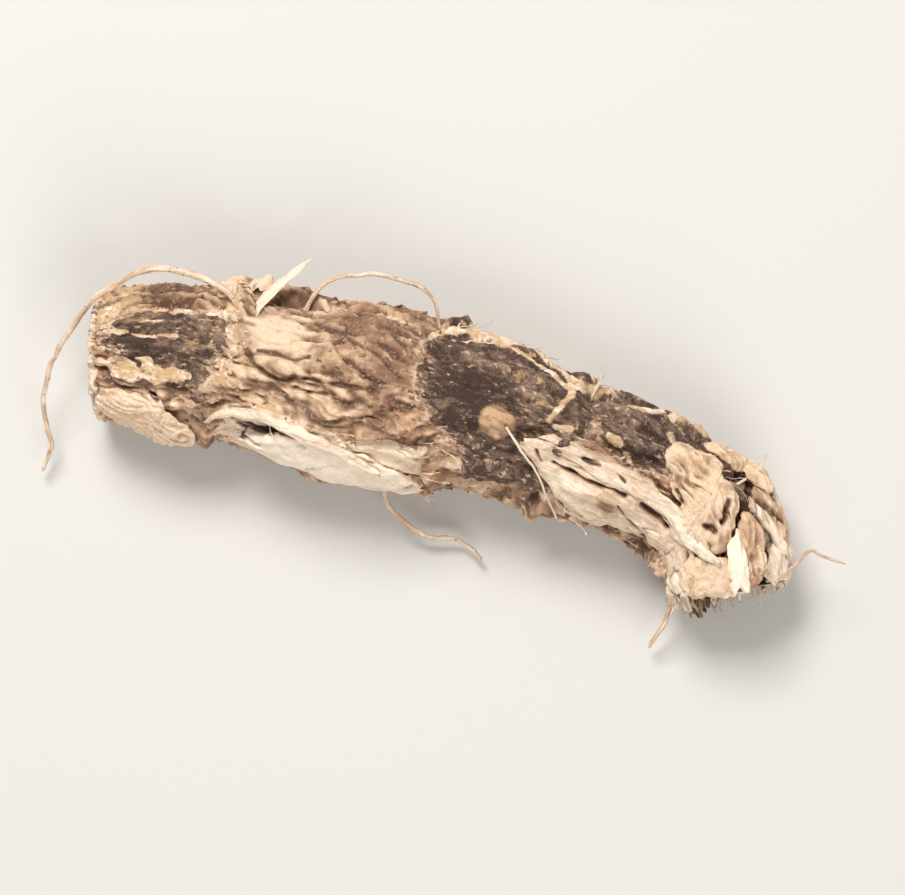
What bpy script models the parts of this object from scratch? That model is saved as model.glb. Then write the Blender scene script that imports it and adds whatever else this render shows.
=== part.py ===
"""One piece of dried, cut angelica root, about 45 mm long, lying on the flat of its split side.

It grew as one piece, so it is one solid. The upper half is bark: wrinkled along the root, with
two ring scars, the scar of a side root, and stretches peeled to the wood. The left end is a clean
cut, the right end is torn into tongues, and the underside is the face where the root was split
along its length. A few thin rootlets and splinters still hold on.
Run it with blender --background --python part.py, or from Blender's text editor.
"""

import math

import bmesh
import bpy
from mathutils import Matrix, Vector, noise

MM = 0.001

# The root's stations, left to right and evenly spaced along the bend, in mm: x and y of its
# middle line, half its width, the height of its crest and the height of its split face.
STATIONS = (
    (-21.3, -2.5, 3.8, 6.0, 0.8),
    (-17.3, -1.3, 4.5, 7.0, 0.3),
    (-13.1, -0.7, 4.9, 7.2, 0.2),
    (-8.9, -0.3, 5.4, 7.5, 0.1),
    (-4.8, 0.3, 5.5, 7.6, -0.1),
    (-0.6, 1.0, 5.2, 7.4, -0.4),
    (3.6, 1.2, 4.5, 7.2, -0.1),
    (7.8, 1.0, 4.1, 6.8, 0.1),
    (11.9, 0.5, 4.0, 6.6, 0.2),
    (15.9, -0.8, 4.1, 6.3, 0.3),
    (18.3, -4.2, 3.5, 5.2, 0.7),
)
ROOT_LENGTH = 42.0  # along the bend
GIRTH_RADIUS = 5.0  # turns an angle round the root into a length round it
WIDEST_AT = 0.40  # share of the height at which the root is widest
RESTING_HEIGHT = 0.0  # the split face is worn flat where it would reach lower than this

# How finely the body is divided, along, round and across each end. The rings are closer
# divided over the crest than underneath.
STEPS_ALONG = 82
STEPS_ROUND = 48
STEPS_ACROSS_END = 4
CREST_CROWDING = 0.22

# Relief of the bark, the wood and the torn end, in mm.
LUMP_HEIGHT = 0.55
FURROW_DEPTH = 0.8
FURROW_LENGTH = 7.0
FURROW_WIDTH = 1.7
WOOD_GRAIN_DEPTH = 0.6
PEEL_DEPTH = 0.55
PEEL_RIM = 0.3
CRUMBLE_DEPTH = 1.0
CRUMBLE_SIZE = 2.3
TORN_END_REACH = 1.5
TORN_END_HOLLOW = 1.6
CUT_END_LEAN = 0.10
CUT_END_CHIPPING = 0.7

# Ring scars: place along the root, width and height in mm.
RING_SCARS = ((7.3, 0.55, 0.45), (27.9, 0.50, 0.50))

# Stretches where the bark has come off. Along the root: start and end; round it from the crest,
# front side positive: near and far edge. All in mm.
PEELED = (
    (26.0, 39.0, 0.4, 5.8),
    (8.0, 20.0, 2.9, 8.0),
    (36.8, 43.0, -7.0, 3.4),
    (21.0, 27.5, -9.4, -6.4),
)

# The scar where a side root broke off: place along, place round, radius and height in mm.
SIDE_ROOT_SCAR = (24.3, -0.1, 1.15, 0.45)

# Tongues of torn wood and bark. Place along in mm, angle round in degrees (0 back, 90 crest,
# 180 front), length and width in mm, how far the tip lifts in mm, and the turn off the root's
# own line in degrees, towards the front.
TONGUE_THICKNESS = 0.65
TONGUES = (
    (38.8, 66, 4.6, 1.9, 0.6, 4),
    (37.6, 30, 3.4, 2.9, 0.6, -8),
    (39.0, 2, 2.6, 2.8, 0.5, 6),
    (38.4, 98, 3.0, 2.8, 0.7, 10),
    (38.8, 138, 2.6, 2.8, 0.5, 4),
    (36.8, 168, 3.4, 2.6, 0.6, 10),
    (39.6, 212, 2.6, 2.6, 0.3, 0),
    (39.8, 330, 2.6, 2.8, 0.3, -6),
    (9.0, 122, 8.0, 2.0, 0.55, 12),
    (1.8, 150, 2.8, 2.2, 0.5, -20),
    (29.4, 104, 5.0, 1.7, 0.45, 8),
)
TONGUE_STEPS = 6  # rings along a tongue
TONGUE_FOOT = 1.3  # how much thicker it is at its foot, where it grows out of the body

# Rootlets and splinters: their width in mm, and the points in mm that they pass through, from
# inside the body to the tip.
STRANDS = (
    (0.75, ((-12.9, 1.6, 5.6), (-15.4, 3.5, 5.5), (-19.4, 3.3, 5.6), (-21.8, 1.2, 5.2), (-23.2, -1.9, 4.2),
            (-23.6, -4.0, 3.4), (-23.3, -6.4, 2.3), (-22.2, -8.4, 1.4), (-22.3, -10.2, 0.8))),
    (0.62, ((-10.4, 3.4, 4.4), (-9.8, 5.6, 4.4), (-7.6, 6.9, 4.5), (-4.9, 7.3, 4.3), (-3.3, 6.6, 4.0),
            (-2.4, 4.6, 3.8))),
    (0.80, ((-13.2, 2.4, 5.0), (-12.3, 4.7, 5.3), (-10.9, 6.9, 5.7))),
    (0.65, ((7.0, 3.4, 4.6), (7.2, 5.0, 5.2), (7.0, 6.4, 5.6))),
    (0.65, ((16.6, 1.6, 4.2), (17.7, 3.0, 4.6), (17.9, 4.1, 4.9))),
    (0.60, ((18.4, -2.2, 3.2), (21.0, -2.0, 3.7), (22.0, -0.6, 3.8), (22.9, -0.5, 3.8), (24.5, -0.6, 3.5))),
    (0.65, ((12.6, -1.6, 3.4), (14.5, -4.3, 3.4), (15.4, -6.4, 2.2), (14.9, -8.8, 1.0))),
    (0.60, ((-3.6, -2.4, 2.6), (-2.6, -5.3, 2.2), (0.2, -6.6, 1.2), (2.4, -6.3, 0.9), (4.0, -7.0, 0.7))),
)
STRAND_TIP = 0.55  # a strand's width at its tip, as a share of its width at its foot
STRAND_STEP = 1.3  # mm between the points of a strand


def through(stations, share):
    """The values at a share from 0 to 1 of a smooth line through the stations."""
    place = min(max(share, 0.0), 1.0) * (len(stations) - 1)
    i = min(int(place), len(stations) - 2)
    t = place - i
    before, a = stations[max(i - 1, 0)], stations[i]
    b, after = stations[i + 1], stations[min(i + 2, len(stations) - 1)]
    return [
        0.5 * (2 * q + (r - p) * t + (2 * p - 5 * q + 4 * r - u) * t**2 + (3 * q - p - 3 * r + u) * t**3)
        for p, q, r, u in zip(before, a, b, after)
    ]


def smooth_step(low, high, value):
    """0 below low, 1 above high, and a smooth rise between them."""
    t = min(max((value - low) / (high - low), 0.0), 1.0)
    return t * t * (3 - 2 * t)


def lengthwise(along, angle, length, width):
    """A place in noise that is stretched along the root and closes round it."""
    waver = noise.noise(Vector((along * 0.15, 1.3 * math.cos(angle), 1.3 * math.sin(angle))))
    turned = angle + 0.018 * along + 0.22 * waver
    ring = GIRTH_RADIUS / width
    return Vector((along / length, ring * math.cos(turned), ring * math.sin(turned)))


def inside_peel(along, around):
    """How far inside a peeled stretch a place is, in mm, with a ragged edge. Negative is bark."""
    ragged = 0.9 * noise.noise(Vector((along * 0.55, around * 0.9, 3.1)))
    return ragged + max(
        min(along - start, end - along, around - near, far - around) for start, end, near, far in PEELED
    )


def split_at(angle):
    """1 on the split face under the root, 0 on its bark."""
    return smooth_step(0.30, 0.62, -math.sin(angle))


def ring_scar_height(along, around):
    """Height of the scars that run round the root, each on a wavering line."""
    height = 0.0
    for place, wide, high in RING_SCARS:
        off_line = along - place + 1.3 * noise.noise(Vector((around * 0.35, place, 0)))
        height += high * math.exp(-((off_line / wide) ** 2))
    return height


def side_root_scar_height(along, around):
    """Height of the round, flat-topped scar of the side root."""
    place, round_it, radius, high = SIDE_ROOT_SCAR
    reach = ((along - place) ** 2 + (around - round_it) ** 2) / radius**2
    return high * math.exp(-(reach**2))


def crumble(along, angle):
    """Depth of the cracks that break the torn end into lumps, growing towards the end."""
    torn = smooth_step(34.0, 39.5, along)
    if torn == 0:
        return 0.0
    near, next_near = noise.voronoi(lengthwise(along, angle, CRUMBLE_SIZE * 1.6, CRUMBLE_SIZE))[0][:2]
    return torn * CRUMBLE_DEPTH * (1 - smooth_step(0.0, 0.5, next_near - near))


def relief(along, angle):
    """How far the surface stands out from the plain section, in mm."""
    around = GIRTH_RADIUS * math.remainder(angle - math.pi / 2, 2 * math.pi)
    split = split_at(angle)
    inside = inside_peel(along, around)
    peel = smooth_step(-0.4, 0.4, inside)
    bark_share = (1 - split) * (1 - peel)
    lumps = LUMP_HEIGHT * noise.noise(lengthwise(along, angle, 5.0, 3.6)) * (1 - 0.5 * split)
    furrow = 1 - abs(noise.noise(lengthwise(along, angle, FURROW_LENGTH, FURROW_WIDTH)))
    rim = PEEL_RIM * math.exp(-(((inside + 0.7) / 0.45) ** 2))
    bark = rim - FURROW_DEPTH * smooth_step(0.5, 1.0, furrow)
    bark += ring_scar_height(along, around) + side_root_scar_height(along, around)
    grain = noise.noise(lengthwise(along, angle, 14.0, 0.9) + Vector((7.0, 0.0, 0.0)))
    wood = WOOD_GRAIN_DEPTH * grain - PEEL_DEPTH * peel * (1 - split)
    return lumps + bark_share * bark + (1 - bark_share) * wood - crumble(along, angle)


def frame_at(share):
    """The station's values at a share of the root's length, its direction and its back-pointing side."""
    ahead, behind = through(STATIONS, share + 0.01), through(STATIONS, share - 0.01)
    tangent = Vector((ahead[0] - behind[0], ahead[1] - behind[1], 0)).normalized()
    return through(STATIONS, share), tangent, Vector((-tangent.y, tangent.x, 0))


def section_offset(station, side, angle):
    """From the middle of a plain section to its edge: round above, flatter on the split side."""
    half_width, crest, split_height = station[2:]
    middle = split_height + WIDEST_AT * (crest - split_height)
    across, up = math.cos(angle), math.sin(angle)
    if up >= 0:
        rise = (crest - middle) * up
    else:
        across = math.copysign(abs(across) ** 0.72, across)
        rise = -(middle - split_height) * abs(up) ** 0.62
    return middle, side * (half_width * across) + Vector((0, 0, rise))


def ring_of_points(share, inward=0.0, pushed=0.0):
    """One ring round the body, in mm. inward shrinks it, and pushed moves it along the root."""
    station, tangent, side = frame_at(share)
    along = share * ROOT_LENGTH
    ring = []
    for k in range(STEPS_ROUND):
        turn = 2 * math.pi * k / STEPS_ROUND
        angle = turn + CREST_CROWDING * math.cos(turn)
        middle, offset = section_offset(station, side, angle)
        offset *= (1 + relief(along, angle) / offset.length) * (1 - inward)
        torn = noise.noise(Vector((2.1 * math.cos(angle), 2.1 * math.sin(angle), 5.0)))
        ragged = TORN_END_REACH * torn * smooth_step(0.8, 1.0, share)
        chipped = noise.noise(Vector((4.0 * math.cos(angle), 4.0 * math.sin(angle), 8.0)))
        ragged += CUT_END_CHIPPING * chipped * (1 - smooth_step(0.0, 0.03, share)) * (1 - inward)
        lean = -CUT_END_LEAN * offset.z * (1 - smooth_step(0.0, 0.12, share))
        point = Vector((station[0], station[1], middle)) + offset + tangent * (ragged + lean + pushed)
        point.z = max(point.z, RESTING_HEIGHT)
        ring.append(point)
    return ring


def loft(rings):
    """A closed mesh through the rings, in metres, with a face across each end."""
    mesh = bmesh.new()
    loops = [[mesh.verts.new(point * MM) for point in ring] for ring in rings]
    for a, b in zip(loops, loops[1:]):
        for k in range(len(a)):
            after = (k + 1) % len(a)
            mesh.faces.new((a[k], a[after], b[after], b[k]))
    mesh.faces.new(loops[0][::-1])
    mesh.faces.new(loops[-1])
    bmesh.ops.recalc_face_normals(mesh, faces=mesh.faces)
    return mesh


def add_object(name, mesh, collection):
    """A new object from a bmesh, which it frees."""
    data = bpy.data.meshes.new(name)
    mesh.to_mesh(data)
    mesh.free()
    obj = bpy.data.objects.new(name, data)
    collection.objects.link(obj)
    return obj


def make_body(collection):
    """The root without its tongues and rootlets: a loft of unlike rings, closed by its two ends."""
    rings = []
    inwards = [k / (STEPS_ACROSS_END + 0.6) for k in range(STEPS_ACROSS_END + 1)]
    for inward in inwards[:0:-1]:
        rings.append(ring_of_points(0, inward, -0.35 * smooth_step(0.0, 0.3, inward)))
    rings += [ring_of_points(step / STEPS_ALONG) for step in range(STEPS_ALONG + 1)]
    for inward in inwards[1:]:
        rings.append(ring_of_points(1, inward, -TORN_END_HOLLOW * smooth_step(0.1, 0.9, inward)))
    mesh = loft(rings)
    return add_object("root_piece", mesh, collection)


def make_tongue(name, values, collection):
    """A torn tongue: thick where it leaves the body, lifting and thinning to a ragged tip."""
    along, degrees, length, width, lift, turn = values
    angle = math.radians(degrees)
    station, tangent, side = frame_at(along / ROOT_LENGTH)
    middle, offset = section_offset(station, side, angle)
    out = offset.normalized()
    foot = Vector((station[0], station[1], middle)) + offset + out * relief(along, angle)
    forward = Matrix.Rotation(math.radians(-turn), 3, out) @ tangent
    across = out.cross(forward).normalized()
    rings = []
    for step in range(TONGUE_STEPS + 1):
        u = step / TONGUE_STEPS
        thickness = TONGUE_THICKNESS + TONGUE_FOOT * (1 - smooth_step(0.0, 0.8, u))
        top, under = [], []
        for v in (-1.0, -0.4, 0.4, 1.0):
            ragged = 0.9 * noise.noise(Vector((v * 1.9, along, 4.0)))
            reach = (length + ragged) * u
            edge = 1 + 0.35 * noise.noise(Vector((reach * 0.8, math.copysign(4.0, v), degrees)))
            narrow = width / 2 * edge * (1 - 0.45 * u**3)
            hug = (narrow * v) ** 2 / (2 * GIRTH_RADIUS) * (1.6 - 2.2 * u)
            curl = lift * u * u + 0.4 * noise.noise(Vector((reach * 0.4, v * 0.7, degrees)))
            rise = curl - hug - 0.5 * (1 - smooth_step(0.0, 0.25, u))
            sway = 0.35 * noise.noise(Vector((reach * 0.35, degrees, 9.0)))
            point = foot + forward * reach + across * (narrow * v + sway) + out * rise
            top.append(point)
            under.append(point - out * thickness)
        rings.append(top + under[::-1])
    return add_object(name, loft(rings), collection)


def make_strand(name, width, points, collection):
    """A rootlet or splinter: a tapering tube along a smooth line through its points."""
    length = sum((Vector(b) - Vector(a)).length for a, b in zip(points, points[1:]))
    steps = max(4, round(length / STRAND_STEP))
    curve = bpy.data.curves.new(name, "CURVE")
    curve.dimensions = "3D"
    curve.bevel_depth = width / 2 * MM
    curve.bevel_resolution = 1
    curve.use_fill_caps = True
    spline = curve.splines.new("POLY")
    spline.points.add(steps)
    for k, point in enumerate(spline.points):
        share = k / steps
        point.co = (*(Vector(through(points, share)) * MM), 1)
        point.radius = 1 - (1 - STRAND_TIP) * share
    tube = bpy.data.objects.new(name + "_line", curve)
    collection.objects.link(tube)
    bpy.context.view_layer.update()
    shape = bpy.data.meshes.new_from_object(tube.evaluated_get(bpy.context.evaluated_depsgraph_get()))
    mesh = bmesh.new()
    mesh.from_mesh(shape)
    bmesh.ops.remove_doubles(mesh, verts=mesh.verts, dist=0.001 * MM)
    bmesh.ops.recalc_face_normals(mesh, faces=mesh.faces)
    bpy.data.objects.remove(tube)
    bpy.data.meshes.remove(shape)
    return add_object(name, mesh, collection)


def join_to(body, collection):
    """One Boolean union of the body with everything in a collection, which is then removed."""
    union = body.modifiers.new("grown_together", "BOOLEAN")
    union.operation = "UNION"
    union.operand_type = "COLLECTION"
    union.collection = collection
    union.solver = "MANIFOLD"  # EXACT leaves open edges where a tongue crosses a crumbled lump
    bpy.context.view_layer.update()
    joined = bpy.data.meshes.new_from_object(body.evaluated_get(bpy.context.evaluated_depsgraph_get()))
    body.modifiers.clear()
    body.data = joined
    for obj in list(collection.objects):
        bpy.data.objects.remove(obj)
    bpy.data.collections.remove(collection)


def fill_pockets(body):
    """Fill the small pockets that a tongue shuts in over a furrow: only the outer skin is kept."""
    mesh = bmesh.new()
    mesh.from_mesh(body.data)
    unseen = set(mesh.verts)
    skins = []
    while unseen:
        skin, edge = set(), [unseen.pop()]
        while edge:
            vertex = edge.pop()
            skin.add(vertex)
            near = {link.other_vert(vertex) for link in vertex.link_edges} & unseen
            unseen -= near
            edge.extend(near)
        skins.append(skin)
    outer = max(skins, key=len)
    bmesh.ops.delete(mesh, geom=[v for v in mesh.verts if v not in outer], context="VERTS")
    mesh.to_mesh(body.data)
    mesh.free()


def finish(obj):
    """Smooth shading with the torn edges kept sharp, and the dry root's own material."""
    obj.data.shade_smooth()
    obj.data.set_sharp_from_angle(angle=math.radians(60))
    material = bpy.data.materials.new("dried_root")
    material.use_nodes = True
    surface = material.node_tree.nodes["Principled BSDF"]
    surface.inputs["Base Color"].default_value = (0.50, 0.35, 0.24, 1)
    surface.inputs["Roughness"].default_value = 0.85
    surface.inputs["Metallic"].default_value = 0.0
    obj.data.materials.clear()
    obj.data.materials.append(material)


def main():
    for old in list(bpy.data.objects):
        bpy.data.objects.remove(old)
    angelica_root = bpy.data.collections.new("angelica_root")
    outgrowths = bpy.data.collections.new("outgrowths")
    bpy.context.scene.collection.children.link(angelica_root)
    bpy.context.scene.collection.children.link(outgrowths)
    body = make_body(angelica_root)
    for number, values in enumerate(TONGUES):
        make_tongue(f"tongue_{number}", values, outgrowths)
    for number, (width, points) in enumerate(STRANDS):
        make_strand(f"strand_{number}", width, points, outgrowths)
    join_to(body, outgrowths)
    fill_pockets(body)
    finish(body)


main()
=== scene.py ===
"""The looks of one piece of dried, cut angelica root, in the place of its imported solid.

The root lies on its split face: bark above, a clean cut at the left end, a torn end at the right.
Its surface is described once, as a place along the root and an angle round it. The body and the
flaps, lobes and loose bits on it all follow that description. Lengths are in millimetres, but in
metres for the table, the lights and the camera.
"""

import math

import bmesh
import bpy
import numpy as np
from mathutils import Matrix, Vector, geometry, noise


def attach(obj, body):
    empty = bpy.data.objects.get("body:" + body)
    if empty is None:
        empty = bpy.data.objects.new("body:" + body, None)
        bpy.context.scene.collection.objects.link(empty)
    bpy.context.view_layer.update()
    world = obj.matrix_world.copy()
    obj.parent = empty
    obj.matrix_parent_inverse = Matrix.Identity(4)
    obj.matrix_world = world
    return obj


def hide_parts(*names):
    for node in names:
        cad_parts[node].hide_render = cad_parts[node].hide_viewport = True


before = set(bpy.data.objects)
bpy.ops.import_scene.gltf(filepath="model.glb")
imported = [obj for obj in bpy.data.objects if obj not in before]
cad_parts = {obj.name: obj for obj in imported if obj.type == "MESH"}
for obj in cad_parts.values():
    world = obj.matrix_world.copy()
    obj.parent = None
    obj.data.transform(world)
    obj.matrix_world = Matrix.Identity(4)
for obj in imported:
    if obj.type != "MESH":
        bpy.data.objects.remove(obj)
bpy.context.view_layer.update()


# The root's body: one bent stretch of dried root, split along its length, with its bark on.
# It grew as one piece. Its bark shrank into lengthwise wrinkles and flaked as it dried, and the
# wood shows where the bark has come away, at both ends and on the split face underneath.

MM = 0.001
NOISE_SEED = 1
noise.seed_set(NOISE_SEED)  # noise_vector would else differ from run to run
STATIONS = (  # x and y of the middle line, half width, height of crest, height of split face
    (-21.3, -2.5, 3.8, 6.0, 0.8),
    (-17.3, -1.3, 4.5, 7.0, 0.3),
    (-13.1, -0.7, 4.9, 7.2, 0.2),
    (-8.9, -0.3, 5.4, 7.5, 0.1),
    (-4.8, 0.3, 5.5, 7.6, -0.1),
    (-0.6, 1.0, 5.2, 7.4, -0.4),
    (3.6, 1.2, 4.5, 7.2, -0.1),
    (7.8, 1.0, 4.1, 6.8, 0.1),
    (11.9, 0.5, 4.0, 6.6, 0.2),
    (15.9, -0.8, 4.1, 6.3, 0.3),
    (18.3, -4.2, 3.5, 5.2, 0.7),
)
ROOT_LENGTH = 42.0
GIRTH_RADIUS = 5.0  # turns an angle round the root into a length round it
GRAIN_TWIST = 0.018  # how far the grain turns round the root in a millimetre
GRAIN_WAVER = 0.22
WIDEST_AT = 0.40  # where a section is widest, as a share of its height
FLANK_FULLNESS = 0.72  # below its widest place a section is fuller than an ellipse
UNDERSIDE_FLATNESS = 0.62
RESTING_HEIGHT = 0.0
CREST_HEIGHT_LIMIT = 7.58
CREST_PRESSED_OVER = 0.40  # the height below the limit in which it is pressed

# Large relief, close to the solid's.
LUMP_HEIGHT = 0.55
FURROW_DEPTH = 0.8
FURROW_LENGTH = 7.0
FURROW_WIDTH = 1.7
WOOD_GRAIN_DEPTH = 0.6
PEEL_DEPTH = 0.55
PEEL_RIM = 0.3
CRUMBLE_DEPTH = 1.0
CRUMBLE_SIZE = 2.3
TORN_END_REACH = 1.5
TORN_END_HOLLOW = 1.6
CUT_END_LEAN = 0.10
CUT_END_CHIPPING = 0.14
CUT_END_TRIM = 0.45
CUT_FACE_HOLLOW = 0.30
RING_SCARS = ((7.3, 0.55, 0.45), (27.9, 0.50, 0.50))  # place along, width, height
PEELED = (  # start and end along the root, near and far edge round it from the crest, front positive
    (28.4, 39.0, 0.4, 5.8),
    (8.0, 20.0, 2.9, 8.0),
    (36.8, 43.0, -7.0, 3.4),
    (21.0, 27.5, -9.4, -6.4),
)
SCAR_HEIGHT = 0.16
SIDE_ROOT_SCAR = (  # its outline (along, round)
    (22.8, -0.2), (23.4, -0.8), (24.1, -0.9), (24.8, -0.5), (25.1, 0.3), (24.8, 1.0), (24.2, 1.5),
    (23.5, 1.4), (22.9, 0.8),
)

# Plates of dark outer bark: place along, place round, half length, half width.
DARK_PLATES = (
    (4.5, -1.5, 3.2, 2.7),
    (6.3, 1.0, 0.8, 1.5),
    (24.2, -2.9, 5.0, 5.8),
    (25.6, 3.0, 2.9, 2.4),
    (32.6, -4.6, 4.3, 3.9),
    (38.0, -2.5, 1.3, 0.9),
    (13.0, 12.5, 6.0, 2.0),
    (9.0, -9.5, 5.0, 1.6),
    (29.0, 10.0, 4.5, 1.4),
)
PLATE_HEIGHT = 0.12

# Narrow pale ridges where bark broke away: half width, height, and the places (along, round) they
# pass through.
RIDGES = (
    (0.21, 0.26, ((19.4, -5.3), (21.0, -5.7), (22.6, -5.9), (24.4, -5.7), (26.1, -5.4), (27.3, -4.5))),
    (0.15, 0.14, ((20.6, -5.0), (22.4, -5.2), (24.2, -5.0), (25.6, -4.7), (26.9, -4.2))),
    (0.18, 0.24, ((27.4, -4.2), (27.4, -3.4), (27.0, -2.2), (26.7, -1.1))),
    (0.30, 0.26, ((27.3, -4.3), (28.0, -4.5), (28.8, -5.2))),
    (0.19, 0.24, ((28.8, -5.2), (29.6, -5.8), (30.8, -6.5), (32.0, -6.7), (33.2, -7.5), (35.0, -7.6))),
    (0.30, 0.22, ((27.3, -0.9), (28.0, -1.0))),
    (0.16, 0.14, ((2.3, -4.6), (3.6, -4.0), (5.0, -3.9), (6.4, -3.7), (7.2, -2.9))),
    (0.24, 0.26, ((33.3, -4.7), (34.0, -4.3), (34.8, -3.8))),
    (0.22, 0.08, ((2.6, -1.8), (3.1, -1.5), (3.7, -1.2))),
    (0.20, 0.08, ((3.9, -1.5), (4.7, -1.5))),
    (0.13, 0.05, ((2.9, -3.2), (3.9, -3.1))),
    (0.30, 0.16, ((30.3, -1.6), (30.9, -1.5))),
    (0.22, 0.14, ((31.6, -1.1), (32.0, -0.7))),
    (0.24, 0.26, ((7.4, 3.5), (9.2, 2.5), (10.9, 2.0), (12.3, 2.2), (13.8, 2.8), (16.0, 3.7), (18.6, 4.8))),
)

# Crusts of crumbled cork that cling to the bark: half width, height, and the places (along, round)
# they pass through.
CRUSTS = (
    (0.75, 0.40, ((0.8, -3.6), (1.4, -4.5), (2.0, -5.6))),
    (0.32, 0.26, ((1.3, -2.4), (2.0, -2.0))),
    (0.30, 0.16, ((1.3, -0.4), (1.8, -0.3))),
    (0.80, 0.20, ((1.3, 0.7), (2.4, 1.3))),
    (0.50, 0.30, ((3.3, 0.6), (3.6, 1.4), (4.2, 1.3))),
    (0.48, 0.34, ((4.8, 1.0), (5.6, 1.0))),
    (0.40, 0.22, ((4.9, -4.1), (6.0, -3.8), (6.9, -3.3))),
    (0.40, 0.16, ((7.2, -6.5), (7.3, -5.0), (7.7, -3.4))),
    (0.34, 0.14, ((7.9, -2.2), (7.9, -0.6), (7.4, 0.8))),
    (0.26, 0.12, ((0.6, -2.9), (0.3, -1.5), (0.4, 1.0), (0.6, 3.9))),
    (0.50, 0.24, ((5.2, 2.9), (6.2, 3.2))),
    (0.35, 0.20, ((16.6, -5.6), (17.6, -5.4))),
    (0.40, 0.24, ((36.8, -7.6), (37.6, -7.4))),
)

# Narrow crevices in the bark and in the slab, sunk in and darkened with painted shade: half width,
# depth, and the places (along, round) they pass through.
CREVICES = (
    (0.12, 0.34, ((8.5, -2.3), (8.8, -1.5), (9.3, -0.7), (10.0, -0.2), (10.8, 0.1), (11.4, 0.1))),
    (0.13, 0.34, ((11.4, 0.1), (11.7, -0.3), (12.6, -0.4), (13.5, -0.3), (15.3, -0.3), (16.5, -0.3))),
    (0.10, 0.16, ((9.4, -1.6), (10.5, -1.5), (11.6, -1.3), (12.4, -1.6))),
    (0.12, 0.32, ((10.6, 0.8), (11.3, 0.9), (11.7, 1.2), (12.2, 1.3))),
    (0.11, 0.26, ((14.6, -1.7), (15.4, -1.4), (16.1, -1.1), (16.7, -0.9))),
    (0.10, 0.24, ((12.0, 0.4), (12.8, 0.5), (13.9, 0.4))),
    (0.11, 0.26, ((12.5, -4.0), (13.7, -3.5), (15.0, -3.3))),
    (0.16, 0.50, ((1.2, 1.4), (1.5, 2.2), (2.1, 2.5), (2.9, 2.5), (3.3, 2.4), (4.0, 3.0))),
    (0.20, 0.45, ((4.7, 1.9), (5.2, 2.1), (5.8, 2.1))),
    (0.18, 0.60, ((7.8, 3.8), (8.4, 3.6))),
    (0.19, 0.80, ((8.8, 3.2), (9.6, 3.05), (10.5, 3.0), (11.2, 3.3))),
    (0.16, 0.55, ((9.0, 4.5), (9.5, 4.6), (10.6, 4.5))),
    (0.13, 0.55, ((27.9, 1.6), (28.9, 1.7), (30.0, 1.8), (30.9, 1.8), (31.8, 1.6), (32.6, 1.7))),
    (0.12, 0.36, ((29.4, 0.5), (29.9, 0.6), (30.4, 0.5))),
    (0.15, 0.50, ((28.9, 4.4), (29.7, 4.7), (30.4, 4.9))),
    (0.12, 0.42, ((32.5, 2.5), (33.1, 3.0), (33.8, 3.4), (34.4, 4.0), (35.0, 4.4))),
    (0.17, 0.65, ((33.8, 1.6), (34.4, 1.8), (35.2, 2.0), (35.8, 2.2))),
    (0.11, 0.30, ((31.5, 0.5), (32.2, 0.8))),
    (0.12, 0.30, ((26.6, 1.1), (27.1, 1.8))),
    (0.12, 0.55, ((37.5, -1.9), (37.7, -1.4), (38.0, -1.0), (38.1, -0.7))),
    (0.15, 0.60, ((37.7, 0.3), (38.0, 0.1), (38.3, 0.0))),
    (0.10, 0.20, ((35.1, -0.4), (35.7, 0.1))),
    (0.15, 0.30, ((38.1, -3.9), (38.6, -4.6), (39.2, -5.4))),
    (0.13, 0.28, ((38.2, -5.6), (38.7, -6.3), (39.2, -6.2))),
)

# How light or dark the bark and wood are: place along, place round, half length, half width and
# tone. A negative tone is darker. The three dark patches that sit on hollows in PITS are painted shade.
TONES = (
    (10.3, -3.2, 2.6, 2.1, 1.00),
    # Painted shade: darkens the hollow under lifted bark at the same place in PITS.
    (4.5, -5.2, 0.9, 0.5, -1.10),
    (14.9, -4.3, 1.3, 1.1, -0.70),
    (15.8, -3.4, 2.6, 2.2, -0.30),
    (17.4, -1.5, 1.6, 2.6, -0.50),
    (16.9, -5.6, 1.2, 0.8, 0.55),
    (11.0, -0.9, 2.0, 0.9, 0.55),
    (9.0, 0.3, 1.4, 0.7, 0.40),
    (13.0, 1.4, 4.0, 1.4, 0.50),
    (16.6, 2.4, 2.6, 1.6, -0.50),
    (3.4, 4.6, 3.0, 2.0, 0.70),
    (6.2, 3.4, 0.9, 1.0, -0.80),
    (7.2, -0.5, 0.8, 3.5, 0.15),
    (2.4, -0.9, 1.1, 1.5, -0.60),
    (5.6, -0.4, 1.0, 1.1, 0.30),
    (4.6, -2.9, 1.6, 0.9, 0.25),
    (2.0, 1.1, 1.2, 0.8, 0.30),
    (14.0, 4.8, 4.5, 2.0, 1.00),
    (21.8, -1.6, 1.8, 3.4, -0.75),
    (22.6, -3.6, 1.6, 0.8, 1.10),
    (25.6, -2.7, 1.5, 1.1, 0.90),
    (26.4, 3.6, 1.4, 1.2, 0.35),
    (30.4, -4.0, 2.4, 2.0, 0.70),
    (32.4, -0.9, 2.4, 0.8, -0.60),
    (34.2, -3.2, 1.0, 1.2, -0.50),
    (29.4, 2.6, 1.4, 1.0, 0.40),
    (31.8, 2.9, 0.8, 0.5, -1.10),
    (30.0, -0.1, 2.2, 0.5, -0.35),
    (34.6, 2.0, 1.6, 0.5, -0.35),
    # Painted shade: these two darken the hollows between torn lumps at the same places in PITS.
    (37.2, -3.9, 1.0, 1.2, -1.30),
    (39.0, -2.7, 0.5, 0.4, -0.30),
    (38.8, -4.5, 1.2, 2.0, -0.50),
    (37.9, 1.4, 1.3, 0.7, 0.90),
    (40.5, -1.2, 1.4, 1.2, 0.60),
)
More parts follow.
